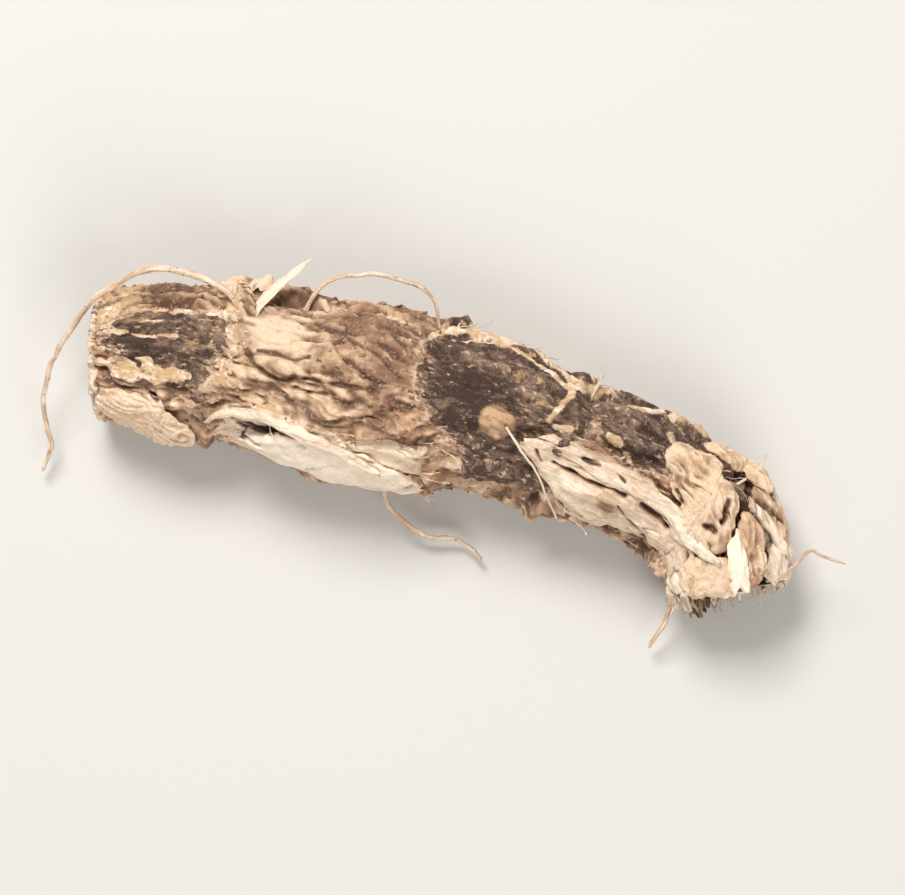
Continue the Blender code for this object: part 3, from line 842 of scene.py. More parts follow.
def body_material():
    """Dried angelica root: wrinkled tan cork, dark plates of outer bark and bared creamy wood, with painted
    shade in its hollows and cracks and painted highlights on its tops.
    """
    material, s, shader = new_material("angelica_root_skin")
    grain = s.attribute("grain", "Vector")
    peel, dark, tone = s.attribute("peel"), s.attribute("dark"), s.attribute("tone")
    bark_share, depth, inward = s.attribute("bark_share"), s.attribute("depth"), s.attribute("inward")

    streak = s.noise(s.scaled(grain, 0.38, 2.4, 2.4), 5.0, 0.62, 0.25)
    fine_streak = s.noise(s.scaled(grain, 1.1, 7.5, 7.5), 3.0, 0.6)
    mottle = s.noise(s.scaled(grain, 0.55, 0.80, 0.80), 5.0, 0.62, 0.4)
    patches = s.noise(s.scaled(grain, 1.15, 1.75, 1.75), 4.0, 0.62, 0.5)
    grit = s.noise(s.scaled(grain, 4.5, 6.5, 6.5), 3.0, 0.65)
    dust = s.noise(s.scaled(grain, 10.0, 13.0, 13.0), 2.0, 0.6)
    specks = s.noise(s.scaled(grain, 2.2, 3.4, 3.4), 2.0, 0.5)

    lightness = 0.5 * mottle + 0.5 * patches + 0.16 * tone + 0.22 * (streak - 0.5)
    tan = s.coated(
        TAN_PINKISH,
        (lightness, 0.38, 0.52, 1.0, TAN_MIDDLE),
        # Painted shade and painted highlight from the depth mark: less pale tan, darker tan and crevice
        # shade down in wrinkles, cracks and hollows, and pale tan on the tops of the warts.
        (lightness - 0.10 * depth, 0.46, 0.62, 1.0, TAN_LIGHT),
        (-tone - 0.6 * (patches - 0.5), 0.15, 0.9, 0.75, TAN_DARK),
        (depth, 0.10, 0.75, 0.75, TAN_DARK),
        (depth, 0.55, 1.0, 0.6, CREVICE_SHADE),
        (-depth, 0.04, 0.28, 0.45, CREAM_TAN),
        (grit - 0.05 * tone, 0.58, 0.68, 0.6, TAN_DARK),
        (grit + 0.6 * (dust - 0.5), 0.56, 0.66, 0.22, TAN_LIGHT),
        (specks + 0.3 * (dust - 0.5), 0.62, 0.70, 0.3, TAN_LIGHT),
    )

    plate_tone = 0.4 * mottle + 0.7 * patches + 0.3 * specks + 0.16 * tone - 0.2
    plate_tone = plate_tone + 0.5 * (grit - 0.5) + 0.3 * (dust - 0.5)
    fleck = specks + 0.3 * (mottle - 0.5) + 0.08 * tone + 0.2 * (dust - 0.5)
    plate = s.coated(
        DARK_DEEP,
        (plate_tone, 0.40, 0.52, 1.0, DARK_MAUVE),
        (plate_tone, 0.54, 0.66, 1.0, DARK_LIGHT),
        (plate_tone, 0.68, 0.80, 0.8, TAN_PINKISH),
        # Painted shade: the plate turns its deepest brown in its hollows.
        (depth, 0.15, 0.6, 0.7, DARK_DEEP),
        (dust + 0.12 * tone, 0.60, 0.72, 0.25, TAN_PINKISH),
        (fleck, 0.61, 0.70, 0.8, s.mix(s.rise(mottle, 0.45, 0.55), CREAM_TAN, OCHRE)),
        (patches + 0.3 * (grit - 0.5), 0.68, 0.74, 0.7, CREAM_TAN),
    )

    ragged_dark = dark + 1.0 * (patches - 0.5) + 1.2 * (specks - 0.5) + 0.5 * (grit - 0.5)
    rim = s.rise(ragged_dark, -0.75, -0.2) * (1.0 - s.rise(ragged_dark, -0.15, 0.08))
    bark = s.mix(rim * s.rise(specks, 0.40, 0.56) * 0.75, tan, CREAM_TAN)
    broken_edge = s.attribute("ridge") + 0.6 * (specks - 0.5) + 0.4 * (grit - 0.5)
    edge_colour = s.coated(
        TAN_LIGHT,
        (specks, 0.42, 0.62, 1.0, CREAM),
        (patches, 0.42, 0.56, 0.8, OCHRE),
        (grit, 0.54, 0.64, 0.6, TAN_PINKISH),
    )
    bark = s.coated(
        bark,
        (ragged_dark, -0.12, 0.10, 1.0, plate),
        (broken_edge, 0.30, 0.60, 1.0, edge_colour),
    )
    from_cut = s.add("ShaderNodeSeparateXYZ", {}, {"Vector": grain}, "X")
    cut_rim = 1.0 - s.rise(from_cut + 0.6 * (specks - 0.5), 0.30, 0.60)
    bark = s.mix(cut_rim * 0.85, bark, CREAM)

    wood = s.coated(
        CREAM_TAN,
        (streak + 0.3 * fine_streak + 0.25 * tone, 0.55, 0.85, 1.0, CREAM),
        (patches - 0.18 * tone, 0.48, 0.66, 0.7, TAN_MIDDLE),
        (mottle - 0.10 * tone, 0.56, 0.70, 0.4, OCHRE),
        (fine_streak - 0.08 * tone, 0.56, 0.68, 0.6, TAN_PINKISH),
        (grit - 0.07 * tone, 0.58, 0.70, 0.5, TAN_PINKISH),
        (tone - 0.8 * fine_streak - 0.5 * (patches - 0.5), 0.3, 1.2, 1.0, WOOD_PALE),
        (-tone - 0.8 * (patches - 0.5), 0.25, 0.9, 0.85, TAN_DARK),
        # Painted shade: darker tan and crevice shade in the splits and cracks of the wood.
        (depth, 0.20, 0.7, 0.8, TAN_DARK),
        (depth, 0.55, 0.95, 0.85, CREVICE_SHADE),
    )
    ragged_peel = peel + 0.6 * (fine_streak - 0.5) + 0.5 * (specks - 0.5)
    bared = s.rise(ragged_peel, -0.12, 0.12)
    split_wood = s.rise(bark_share + 0.4 * (fine_streak - 0.5), 0.62, 0.38) * (1.0 - bared)
    colour = s.mix(split_wood, s.mix(bared, bark, wood), wood)

    radius = 1.0 - inward
    rays = s.attribute("rays", "Vector")
    cleft = s.noise(s.scaled(rays, 9.0, 9.0, 0.6), 3.0, 0.6)
    growth_ring = s.rise(radius, 0.50, 0.56) * (1.0 - s.rise(radius, 0.56, 0.63))
    oil_spots = s.noise(s.scaled(rays, 15.0, 15.0, 15.0), 1.0)
    flesh = s.coated(CORE_YELLOW, (radius, 0.42, 0.60, 1.0, CREAM), (cleft, 0.52, 0.70, 0.7, CREAM_TAN))
    flesh = s.mix(growth_ring * 0.8, flesh, RING_BROWN)
    flesh = s.coated(flesh, (oil_spots, 0.66, 0.72, 1.0, RING_BROWN))

    scar = s.attribute("scar") + 0.10 * (specks - 0.5) + 0.45 * (grit - 0.5)
    scar_colour = s.coated(
        SCAR_TAN,
        (mottle + 0.5 * (specks - 0.5), 0.42, 0.58, 1.0, SCAR_OLIVE),
        (grit + 0.5 * (dust - 0.5), 0.48, 0.62, 0.6, TAN_PINKISH),
        # Painted shade: the scar darkens in its hollows.
        (depth, 0.10, 0.60, 0.5, TAN_DARK),
    )
    colour = s.coated(colour, (inward, 0.02, 0.09, 1.0, flesh), (scar, 0.12, 0.85, 1.0, scar_colour))

    s.feed(shader, "Base Color", colour)
    gloss = 0.25 * s.rise(ragged_peel, 0.0, 0.5) * streak
    s.feed(shader, "Roughness", ROOT_ROUGHNESS - gloss + 0.2 * (grit - 0.5))
    fibre_bump = s.bump(fine_streak, 0.08, 0.7)
    grit_bump = s.bump(grit, 0.10, 0.9, below=fibre_bump)
    s.feed(shader, "Normal", s.bump(dust, 0.05, 0.9, below=grit_bump))
    return material


def ring_depths(count):
    """How far in the rings of an end face lie, closer together towards its rim."""
    return [LAST_RING * (k / count) ** RING_CROWDING for k in range(1, count + 1)]


def make_body():
    """The whole root as one closed skin, from its cut face to its torn face."""
    rings = []
    for inward in reversed(ring_depths(CUT_FACE_RINGS)):
        pushed = CUT_FACE_HOLLOW * smooth_step(0.0, 0.3, inward)
        rings.append(ring_of_root(0, inward, pushed, cut_face_relief))
    rings += [ring_of_root(step / BODY_STEPS_ALONG) for step in range(BODY_STEPS_ALONG + 1)]
    for inward in ring_depths(TORN_FACE_RINGS):
        pushed = -TORN_END_HOLLOW * smooth_step(0.1, 0.9, inward)
        rings.append(ring_of_root(1, inward, pushed, torn_face_relief))
    all_marks = [mark for places, marks in rings for mark in marks]
    return dressed_mesh("angelica_root", [places for places, marks in rings], all_marks)


root_skin = body_material()
body = add_piece("angelica_root", make_body(), root_skin)
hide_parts("root_piece")


# The flaps: on the front of its right half the root split, and a slab of bared wood stands off it,
# with two ribbons along its upper edge. On the left half a smooth strip of wood lies bare below a
# thin curled rim, and two narrow strips tore loose at the right end.

FLAP_STEPS_PER_MM = 9
FLAP_FEWEST_STEPS = 16
FLAP_THINNEST = 0.10
FLAPS = (  # name, the middle line (along, round, half width), rise, curl, thickness, tone, roughness
    ("wood_slab", ((25.8, 0.9, 0.25), (26.8, 1.1, 1.0), (28.2, 1.6, 1.9), (29.8, 2.5, 2.8),
                   (31.4, 2.7, 2.8), (33.0, 2.6, 2.5), (34.8, 2.7, 2.0), (36.6, 3.0, 1.8),
                   (38.4, 3.3, 1.5), (39.8, 3.3, 0.9)),
     0.50, -0.30, 1.1, -0.05, 1.25),
    ("peeled_rim", ((7.2, 3.8, 0.22), (8.1, 3.0, 0.34), (9.5, 2.55, 0.38), (10.9, 2.2, 0.40),
                    (12.3, 2.4, 0.42), (13.8, 3.0, 0.42), (15.6, 3.7, 0.36), (17.4, 4.6, 0.20)),
     0.42, -0.16, 0.22, -0.10, 0.5),
    ("peeled_strip", ((9.6, 4.9, 0.3), (10.8, 4.7, 0.9), (12.4, 4.7, 1.6), (14.2, 5.1, 2.0),
                      (16.4, 5.7, 1.9), (18.6, 6.4, 1.4), (20.2, 6.9, 0.6)),
     0.04, -0.10, 0.7, 0.20, 1.0),
    ("slab_ribbon_upper", ((27.6, 0.5, 0.2), (29.0, 0.5, 0.5), (31.0, 0.6, 0.65), (33.0, 0.65, 0.65),
                           (35.0, 0.9, 0.55), (36.8, 1.2, 0.35), (37.6, 1.4, 0.15)),
     0.62, -0.12, 0.35, 0.05, 1.1),
    ("slab_ribbon_right", ((33.8, 0.5, 0.12), (34.8, 0.8, 0.38), (35.8, 1.2, 0.55), (36.8, 1.6, 0.60),
                           (37.8, 1.8, 0.55), (38.7, 1.5, 0.48), (39.5, 0.9, 0.40), (40.0, 0.3, 0.15)),
     0.70, -0.16, 0.40, 0.5, 1.2),
    ("end_strip_inner", ((38.0, -3.0, 0.12), (38.5, -3.5, 0.32), (39.1, -4.1, 0.38), (39.8, -4.7, 0.34),
                         (40.3, -5.1, 0.14)),
     0.58, -0.12, 0.45, 0.70, 1.0),
    ("end_strip_outer", ((37.8, -6.4, 0.15), (38.4, -6.9, 0.42), (39.2, -6.9, 0.50), (40.0, -6.4, 0.40),
                         (40.5, -6.0, 0.15)),
     0.42, -0.14, 0.45, 0.60, 1.0),
)


def angle_at(around):
    """The angle of a place that lies so many mm round the root from its crest."""
    return around / GIRTH_RADIUS + math.pi / 2


def place_on_root(along, angle, rise):
    """A point that stands over the root's bed by a rise, in mm, and the way out there."""
    station, tangent, side = frame_at(along / ROOT_LENGTH)
    middle, offset = section_offset(station, side, angle)
    out = offset.normalized()
    point = Vector((station[0], station[1], middle)) + offset + out * (bed_height(along, angle) + rise)
    point += tangent * max(along - ROOT_LENGTH, 0)
    point.z = kept_height(point.z)
    return point, out


def bared_wood(along, around, seed):
    """Relief of bared wood in mm, and how deep in a crack a place is: soft ridges, lumps and cracks. The
    depth is painted as shade in the cracks and as highlight on the ridges and lumps.
    """
    push = 0.35 * noise_at(along * 0.5, around * 0.7, seed)
    ridge = 0.6 * noise_at(along * 0.40, (around + push) * 1.4, seed)
    ridge += 0.25 * noise_at(along * 0.9, (around + push) * 4.2, seed)
    crossing = abs(noise_at(along * 0.20, (around + push) * 0.9, seed + 5))
    opened = smooth_step(0.0, 0.35, noise_at(along * 0.45, around * 0.8, seed + 8))
    crack = opened * (1 - smooth_step(0.015, 0.07, crossing))
    lumps = noise_at(along * 1.2, around * 1.6, seed)
    small_lumps = noise_at(along * 2.6, around * 3.6, seed)
    relief = 0.24 * ridge + 0.16 * lumps + 0.05 * small_lumps - 0.30 * crack
    return relief, 0.8 * crack - 0.45 * ridge - 0.35 * lumps


# What the finish follows on a loose piece: inside a peel, inside a dark plate and share of bark.
BARED = (1.5, -5.0, 0.0)
CORKY = (-1.5, -1.0, 1.0)


def loose_mark(along, angle, surface, depth, tone):
    """The mark of a place on a piece that stands off the body."""
    return along, angle, 0.0, *surface, depth, 0.0, tone, Vector((1, 0, 0))


def shell_over_root(name, outline, thickness, tone, rough, seed):
    """A closed shell over the root. outline has rows of (along, round, rise), from end to end."""
    rings, marks = [], []
    rows = len(outline)
    for i, row in enumerate(outline):
        top, under, top_marks = [], [], []
        end_share = min(i, rows - 1 - i) / rows
        for k, (along, around, rise) in enumerate(row):
            edge_share = min(k, len(row) - 1 - k) / len(row)
            relief, depth = bared_wood(along, around, seed)
            relief, depth = rough * relief, rough * depth
            crevice, crevice_near = crevice_at(along, around)
            inside = smooth_step(0.0, 0.16, edge_share) * smooth_step(0.0, 0.06, end_share)
            thick = thickness * (0.30 + 0.70 * inside)
            lift = rise + relief * (0.4 + 0.6 * inside) - min(crevice, 0.6 * thick)
            depth += crevice_near
            point, out = place_on_root(along, angle_at(around), lift)
            top.append(point)
            under.append(point - out * max(thick, FLAP_THINNEST))
            shade = tone_at(along, around) + tone
            top_marks.append(loose_mark(along, angle_at(around), BARED, depth, shade))
        rings.append(top + under[::-1])
        marks += top_marks + top_marks[::-1]
    return dressed_mesh(name, rings, marks)


def make_flap(name, line, rise, curl, thickness, tone, rough):
    """A strip along its middle line, ragged at both edges, with rounded ends."""
    seed = len(name) + line[0][0]
    length = line[-1][0] - line[0][0]
    widest = 2 * max(half_width for along, around, half_width in line)
    steps_along = max(2 * FLAP_FEWEST_STEPS, round(length * FLAP_STEPS_PER_MM))
    steps_across = max(FLAP_FEWEST_STEPS, round(widest * FLAP_STEPS_PER_MM))
    outline = []
    for step in range(steps_along + 1):
        u = step / steps_along
        along, around, half_width = through(line, u)
        row = []
        for k in range(steps_across + 1):
            v = 2 * k / steps_across - 1
            side = math.copysign(3.0, v)
            ragged = 0.20 * noise_at(along * 0.9, side, seed)
            ragged += 0.07 * noise_at(along * 2.3, side, seed)
            ragged += 0.03 * noise_at(along * 6.0, side, seed)
            outwards = math.copysign(1.0, v)
            across = half_width * v + min(half_width, 1.2) * ragged * v * v * outwards * 1.6
            shift = 0.5 * noise_at(v * 2.5, seed, 4.0) * (abs(u - 0.5) * 2) ** 6
            waver = 0.10 * noise_at(along * 0.8, v * 2, seed + 2)
            row.append((along + shift, around + across, rise + curl * v * v + waver))
        outline.append(row)
    return shell_over_root(name, outline, thickness, tone, rough, seed)


for name, *shape in FLAPS:
    add_piece(name, make_flap(name, *shape), root_skin)


# The lobes: lumps, bands and flakes of cork and wood that came loose at the torn end, at the front
# of the cut end and at the collar. They shrank and crumpled as they dried. Each is stuck down in
# its middle and lifts at its edge.

LOBE_STEP = 0.09
LOBE_FEWEST_SECTORS = 48
LOBE_FEWEST_RINGS = 10
LOBES = (  # name, rise, tilt, dome, thickness, tone, is it cork, roughness, outline (along, round)
    ("crumpled_lobe", 0.48, 0.05, 0.16, 0.70, 0.60, True, 1.2,
     ((33.5, -2.3), (33.9, -3.1), (34.8, -3.6), (35.5, -4.2), (36.2, -4.0), (36.4, -3.2), (36.7, -2.6),
      (37.2, -2.9), (37.8, -2.5), (38.3, -1.9), (38.7, -1.2), (39.5, -0.6), (39.8, 0.2), (39.3, 1.2),
      (38.3, 2.1), (37.3, 2.5), (36.4, 2.2), (36.0, 1.4), (35.8, 0.4), (35.0, -0.3), (34.3, -1.3))),
    ("pale_tongue", 0.60, 0.05, 0.16, 0.50, 1.40, False, 0.6,
     ((38.6, -1.5), (39.2, -1.8), (40.2, -1.8), (41.4, -1.6), (42.3, -1.6), (42.9, -1.2), (42.1, -0.7),
      (42.7, -0.1), (42.2, 0.1), (41.2, -0.1), (40.0, -0.4), (39.1, -0.9))),
    ("middle_lobe", 0.26, 0.05, 0.15, 0.50, 0.10, True, 1.2,
     ((38.2, -2.6), (38.8, -3.3), (39.6, -3.6), (40.2, -3.0), (40.0, -2.1), (39.3, -1.6), (38.5, -1.8))),
    ("tan_lobe", 0.40, 0.05, 0.20, 0.60, 0.15, True, 1.1,
     ((39.3, -2.3), (39.9, -3.1), (40.8, -3.2), (41.6, -2.6), (42.2, -1.9), (41.0, -1.7), (40.0, -1.9))),
    ("low_lobe", 0.34, 0.05, 0.22, 0.70, 0.75, True, 0.8,
     ((39.1, 3.4), (39.3, 2.2), (39.6, 1.0), (39.9, -0.2), (41.0, -0.6), (42.1, -0.3), (42.3, 0.8),
      (41.8, 1.9), (41.6, 3.1), (40.6, 3.8), (39.7, 3.9))),
    ("end_lobe", 0.36, 0.10, 0.20, 0.60, 0.10, True, 1.2,
     ((38.0, -3.8), (38.1, -5.4), (38.6, -6.4), (39.4, -6.2), (39.9, -5.3), (39.5, -4.3), (38.8, -3.7))),
    ("top_band", 0.34, 0.10, 0.12, 0.40, 0.30, True, 1.2,
     ((35.0, -5.3), (35.6, -5.9), (36.5, -5.7), (36.9, -6.3), (37.2, -5.4), (36.8, -4.8), (36.3, -4.5),
      (35.7, -4.7))),
    ("top_band_end", 0.36, 0.00, 0.15, 0.45, 0.45, True, 1.5,
     ((36.8, -6.3), (37.0, -7.5), (37.6, -7.6), (38.0, -6.8), (38.1, -5.9), (37.9, -5.1), (37.5, -4.9),
      (37.2, -5.3))),
    ("end_strands", 0.10, -0.10, 0.20, 0.70, 0.30, False, 1.2,
     ((39.9, -4.6), (40.4, -6.2), (41.6, -7.4), (42.8, -7.2), (43.0, -6.2), (42.4, -5.0), (41.6, -3.8),
      (40.6, -3.3))),
    ("front_end_lobe", 0.10, 0.15, 0.25, 0.60, 0.45, False, 1.2,
     ((39.3, 3.4), (40.2, 3.1), (41.2, 3.4), (41.1, 4.4), (40.1, 4.7), (39.3, 4.2))),
    ("front_side_lobe", 0.08, 0.20, 0.15, 0.60, 0.00, True, 1.3,
     ((37.7, 4.6), (39.0, 4.2), (40.0, 5.0), (39.8, 6.0), (38.6, 6.2), (37.4, 5.6))),
    ("front_lower_lobe", 0.06, 0.20, 0.12, 0.50, -0.20, True, 1.3,
     ((35.9, 5.7), (37.2, 5.4), (38.1, 5.9), (38.0, 6.8), (36.9, 7.0), (35.6, 6.5))),
    ("front_flap", 0.16, 0.15, 0.36, 0.50, 0.90, True, 0.9,
     ((0.5, 2.2), (1.3, 2.6), (2.3, 2.9), (3.8, 3.0), (4.6, 3.8), (5.6, 4.7), (6.8, 6.1), (6.4, 7.2),
      (5.0, 7.8), (3.0, 8.0), (1.2, 7.4), (0.4, 5.0))),
    ("collar_flake_outer", 0.35, 0.15, 0.08, 0.30, 0.20, True, 1.2,
     ((6.6, -7.6), (7.6, -8.1), (8.4, -7.4), (8.1, -6.5), (7.0, -6.6))),
    ("collar_flake_middle", 0.30, 0.15, 0.08, 0.25, 0.30, True, 1.2,
     ((8.1, -6.9), (9.2, -6.7), (9.5, -6.1), (8.6, -5.9))),
    ("collar_flake_inner", 0.38, 0.15, 0.08, 0.25, 0.40, True, 1.2,
     ((6.4, -5.9), (7.4, -6.0), (7.6, -5.2), (6.8, -5.0))),
)


def crumpled(along, around, seed):
    """Relief of shrunken, crumpled skin in mm, and how deep in a crease a place is, which is painted as
    shade in the creases and as highlight on the mounds.
    """
    push = 0.45 * noise.noise_vector(Vector((along * 0.7, around * 0.7, seed)))
    askew = Vector((along * 0.50 + around * 0.15, around * 1.25 - along * 0.45, seed)) + push
    crease = 1 - smooth_step(0.01, 0.10, abs(noise.noise(askew * 0.6)))
    crease *= smooth_step(-0.05, 0.25, noise_at(along * 0.6, around * 0.6, seed + 5))
    fold = smooth_step(0.55, 1.0, 1 - abs(noise.noise(askew * 1.7))) - 0.5
    mounds = noise_at(along * 0.7, around * 0.7, seed)
    bumps = noise.noise(Vector((along * 2.3, around * 2.3, seed)) + push)
    grain = noise_at(along * 5.5, around * 5.5, seed)
    relief = 0.16 * mounds + 0.11 * bumps + 0.07 * grain + 0.14 * fold - 0.18 * crease
    return relief, 0.7 * crease - 0.4 * mounds - 0.45 * bumps - 0.35 * fold


def make_lobe(name, rise, tilt, dome, thickness, tone, cork, rough, points):
    """A lobe that fills its outline, ragged at the edge, thick in its middle and thin at its edge."""
    seed = 3.1 * points[0][0] + points[0][1]
    outline = Outline(points)
    middle, reach = outline.middle, max(outline.edges)
    reach_along = max(abs(point[0] - middle.x) for point in points)
    size = min(1.0, reach / 2)
    sector_count = max(LOBE_FEWEST_SECTORS, round(2 * math.pi * reach / LOBE_STEP))
    ring_count = max(LOBE_FEWEST_RINGS, round(reach / LOBE_STEP))
    shares = [(k + 1) / ring_count for k in range(ring_count)]
    relief_of, surface = (crumpled, CORKY) if cork else (bared_wood, BARED)
    rings, marks = [], []
    for side_up in (True, False):
        for share in shares if side_up else reversed(shares):
            ring = []
            for k in range(sector_count):
                way = 2 * math.pi * k / sector_count
                edge = outline.edge(way)
                rim = Vector((edge * math.cos(way), edge * math.sin(way), seed))
                edge += size * (0.36 * noise.noise(rim * 0.8) + 0.11 * noise.noise(rim * 2.2))
                edge += size * 0.05 * noise.noise(rim * 5.5)
                along = middle.x + share * edge * math.cos(way)
                around = middle.y + share * edge * math.sin(way)
                relief, depth = relief_of(along, around, seed)
                depth *= 1 - smooth_step(0.85, 1.0, share)
                crevice, crevice_near = crevice_at(along, around)
                depth = rough * depth + 1.5 * crevice_near
                thick = thickness * (1 - 0.75 * share**4)
                lift = rise + tilt * (along - middle.x) / reach_along + dome * (1 - share**2)
                lift += rough * relief - min(crevice, 0.7 * thick)
                pressed = rise * (0.75 + 1.1 * noise.noise(rim * 0.9 + Vector((0, 0, 7))))
                lift -= pressed * smooth_step(0.70, 1.0, share)
                point, out = place_on_root(along, angle_at(around), lift)
                ring.append(point if side_up else point - out * thick)
                shade = 0.5 * tone_at(along, around) + tone
                marks.append(loose_mark(along, angle_at(around), surface, depth, shade))
            rings.append(ring)
    return dressed_mesh(name, rings, marks)


for name, *shape in LOBES:
    add_piece(name, make_lobe(name, *shape), root_skin)


# The tongues: strips that tore loose where the root was pulled apart at its right end. Each grows
# out of the body's end, is thick there and thins to a ragged tip.

TONGUE_THICKNESS = 0.42
TONGUE_FOOT = 1.5
TONGUE_TONE = 0.3
TONGUE_STEPS_ALONG = 44
TONGUE_STEPS_ACROSS = 25
TONGUES = (  # place along, degrees round (0 back, 90 crest, 180 front), length, width, lift, turn
    (39.2, 40, 3.4, 2.0, 0.5, -4),
    (39.0, 2, 2.6, 2.8, 0.5, 6),
    (39.6, 138, 2.2, 2.4, 0.4, 4),
    (36.8, 168, 3.4, 2.6, 0.6, 10),
    (39.6, 212, 2.6, 2.6, 0.3, 0),
    (39.8, 330, 2.6, 2.8, 0.3, -6),
)


def make_tongue(number, along, degrees, length, width, lift, turn):
    """A torn tongue: thick where it leaves the body, lifting and thinning to a ragged tip."""
    angle = math.radians(degrees)
    station, tangent, side = frame_at(along / ROOT_LENGTH)
    middle, offset = section_offset(station, side, angle)
    out = offset.normalized()
    foot = Vector((station[0], station[1], middle)) + offset + out * large_relief(along, angle)[0]
    forward = Matrix.Rotation(math.radians(-turn), 3, out) @ tangent
    across = out.cross(forward).normalized()
    rings, marks = [], []
    for step in range(TONGUE_STEPS_ALONG + 1):
        u = step / TONGUE_STEPS_ALONG
        thickness = TONGUE_THICKNESS * (1 - 0.5 * u) + TONGUE_FOOT * (1 - smooth_step(0.0, 0.8, u))
        top, under, top_marks = [], [], []
        for k in range(TONGUE_STEPS_ACROSS):
            v = 2 * k / (TONGUE_STEPS_ACROSS - 1) - 1
            ragged = 0.9 * noise_at(v * 1.9, along, 4.0)
            ragged += 0.45 * noise_at(v * 5.5, along, 5.0) * u
            reach = (length + ragged) * u
            side_of = math.copysign(4.0, v)
            edge = 1 + 0.35 * noise_at(reach * 0.8, side_of, degrees)
            edge += 0.13 * noise_at(reach * 2.2, side_of, degrees)
            edge += 0.06 * noise_at(reach * 6.0, side_of, degrees)
            narrow = width / 2 * edge * (1 - 0.45 * u**3)
            hug = (narrow * v) ** 2 / (2 * GIRTH_RADIUS) * (1.6 - 2.2 * u)
            curl = lift * u * u + 0.4 * noise_at(reach * 0.4, v * 0.7, degrees)
            relief, depth = bared_wood(reach, v * width / 2, degrees)
            rise = curl - hug - 0.5 * (1 - smooth_step(0.0, 0.25, u))
            rise += relief * (1 - 0.5 * abs(v) ** 4)
            sway = 0.35 * noise_at(reach * 0.35, degrees, 9.0)
            point = foot + forward * reach + across * (narrow * v + sway) + out * rise
            point.z = kept_height(point.z)
            top.append(point)
            under.append(point - out * thickness * (1 - 0.5 * abs(v) ** 3))
            under[-1].z = max(under[-1].z, RESTING_HEIGHT)
            grain_angle = angle + narrow * v / GIRTH_RADIUS + number
            top_marks.append(loose_mark(along + reach, grain_angle, BARED, depth, TONGUE_TONE))
        rings.append(top + under[::-1])
        marks += top_marks + top_marks[::-1]
    return dressed_mesh(f"torn_tongue_{number}", rings, marks)


for number, shape in enumerate(TONGUES):
    add_piece(f"torn_tongue_{number}", make_tongue(number, *shape), root_skin)


# The rootlets and splinters: side roots thinner than string that dried with the root, and slivers
# that stand off it. They are kinked, knobbly and a little darker than the wood.

ROOTLETS = (  # name, width, how flat it is, and the points it passes through
    ("rootlet_arc", 0.42, 0.9, ((-12.9, 1.6, 5.6), (-15.4, 3.5, 5.5), (-19.4, 3.3, 5.6), (-21.8, 1.2, 5.2),
                                (-23.2, -1.9, 4.2), (-23.6, -4.0, 3.4), (-23.3, -6.4, 2.3),
                                (-22.2, -8.4, 1.4), (-22.3, -10.0, 0.8))),
    ("rootlet_loop", 0.34, 0.9, ((-10.4, 3.4, 4.4), (-9.8, 5.6, 4.4), (-7.6, 6.9, 4.5), (-4.9, 7.2, 4.3),
                                 (-3.3, 6.6, 4.0), (-2.4, 4.6, 3.8))),
    ("splinter_back", 0.66, 0.30, ((-13.2, 2.4, 5.0), (-12.3, 4.7, 5.3), (-10.9, 6.8, 5.7))),
    ("splinter_ridge", 0.26, 0.6, ((7.0, 3.4, 4.6), (7.2, 5.0, 5.2), (7.0, 6.4, 5.6))),
    ("splinter_end", 0.24, 0.6, ((16.6, 1.6, 4.2), (17.7, 3.0, 4.6), (17.9, 4.1, 4.9))),
    ("rootlet_end", 0.26, 0.9, ((18.4, -2.2, 3.2), (21.0, -2.0, 3.7), (22.0, -0.6, 3.8), (22.9, -0.5, 3.8),
                                (24.4, -0.6, 3.5))),
    ("rootlet_torn", 0.42, 0.9, ((12.6, -1.6, 3.4), (14.5, -4.3, 3.4), (15.4, -6.4, 2.2),
                                 (14.9, -8.8, 1.0))),
    ("rootlet_front", 0.40, 0.9, ((-3.6, -2.4, 2.6), (-2.6, -5.3, 2.2), (0.2, -6.6, 1.2), (2.4, -6.3, 0.9),
                                  (4.0, -7.0, 0.7))),
    ("scar_fibre", 0.20, 0.7, ((2.9, 0.9, 7.2), (3.9, 0.0, 7.25), (5.2, -0.9, 7.0), (6.2, -2.0, 6.6),
                               (7.4, -3.4, 5.4))),
)
ROOTLET_STEP = 0.10
ROOTLET_SIDES = 18
KINK = 0.17
KNOB = 0.26
SKIN_RIBS = 0.10
FLAT_SPLINTER = 0.4  # a splinter flatter than this is widest in its middle
SPLINTER_FLATNESS = 0.8  # what is flatter than this shows bared wood
ROOTLET_ROUGHNESS = 0.78


def rootlet_material():
    """Dry rootlets: creamy skin with lengthwise streaks and brown rings, darker in its wrinkles."""
    material, s, shader = new_material("rootlet_skin")
    grain = s.attribute("grain", "Vector")
    blotch = s.noise(s.scaled(grain, 0.9, 2.0, 2.0), 5.0, 0.65, 0.5)
    streak = s.noise(s.scaled(grain, 1.6, 11.0, 11.0), 4.0, 0.65)
    rings = s.noise(s.scaled(grain, 7.0, 1.2, 1.2), 3.0, 0.6)
    grit = s.noise(s.scaled(grain, 11.0, 15.0, 15.0), 2.0, 0.6)
    skin = s.coated(
        TAN_MIDDLE,
        (blotch, 0.36, 0.56, 1.0, CREAM_TAN),
        (blotch + 0.5 * streak, 0.74, 0.92, 1.0, CREAM),
        (streak, 0.54, 0.68, 0.6, TAN_PINKISH),
        (rings, 0.60, 0.70, 0.7, TAN_DARK),
        (grit, 0.60, 0.72, 0.6, RING_BROWN),
        (streak, 0.30, 0.50, s.attribute("splinter"), CREAM),
    )
    s.feed(shader, "Base Color", skin)
    shader.inputs["Roughness"].default_value = ROOTLET_ROUGHNESS
    ribs = s.bump(streak, 0.06, 0.8)
    s.feed(shader, "Normal", s.bump(grit, 0.04, 0.8, below=ribs))
    return material


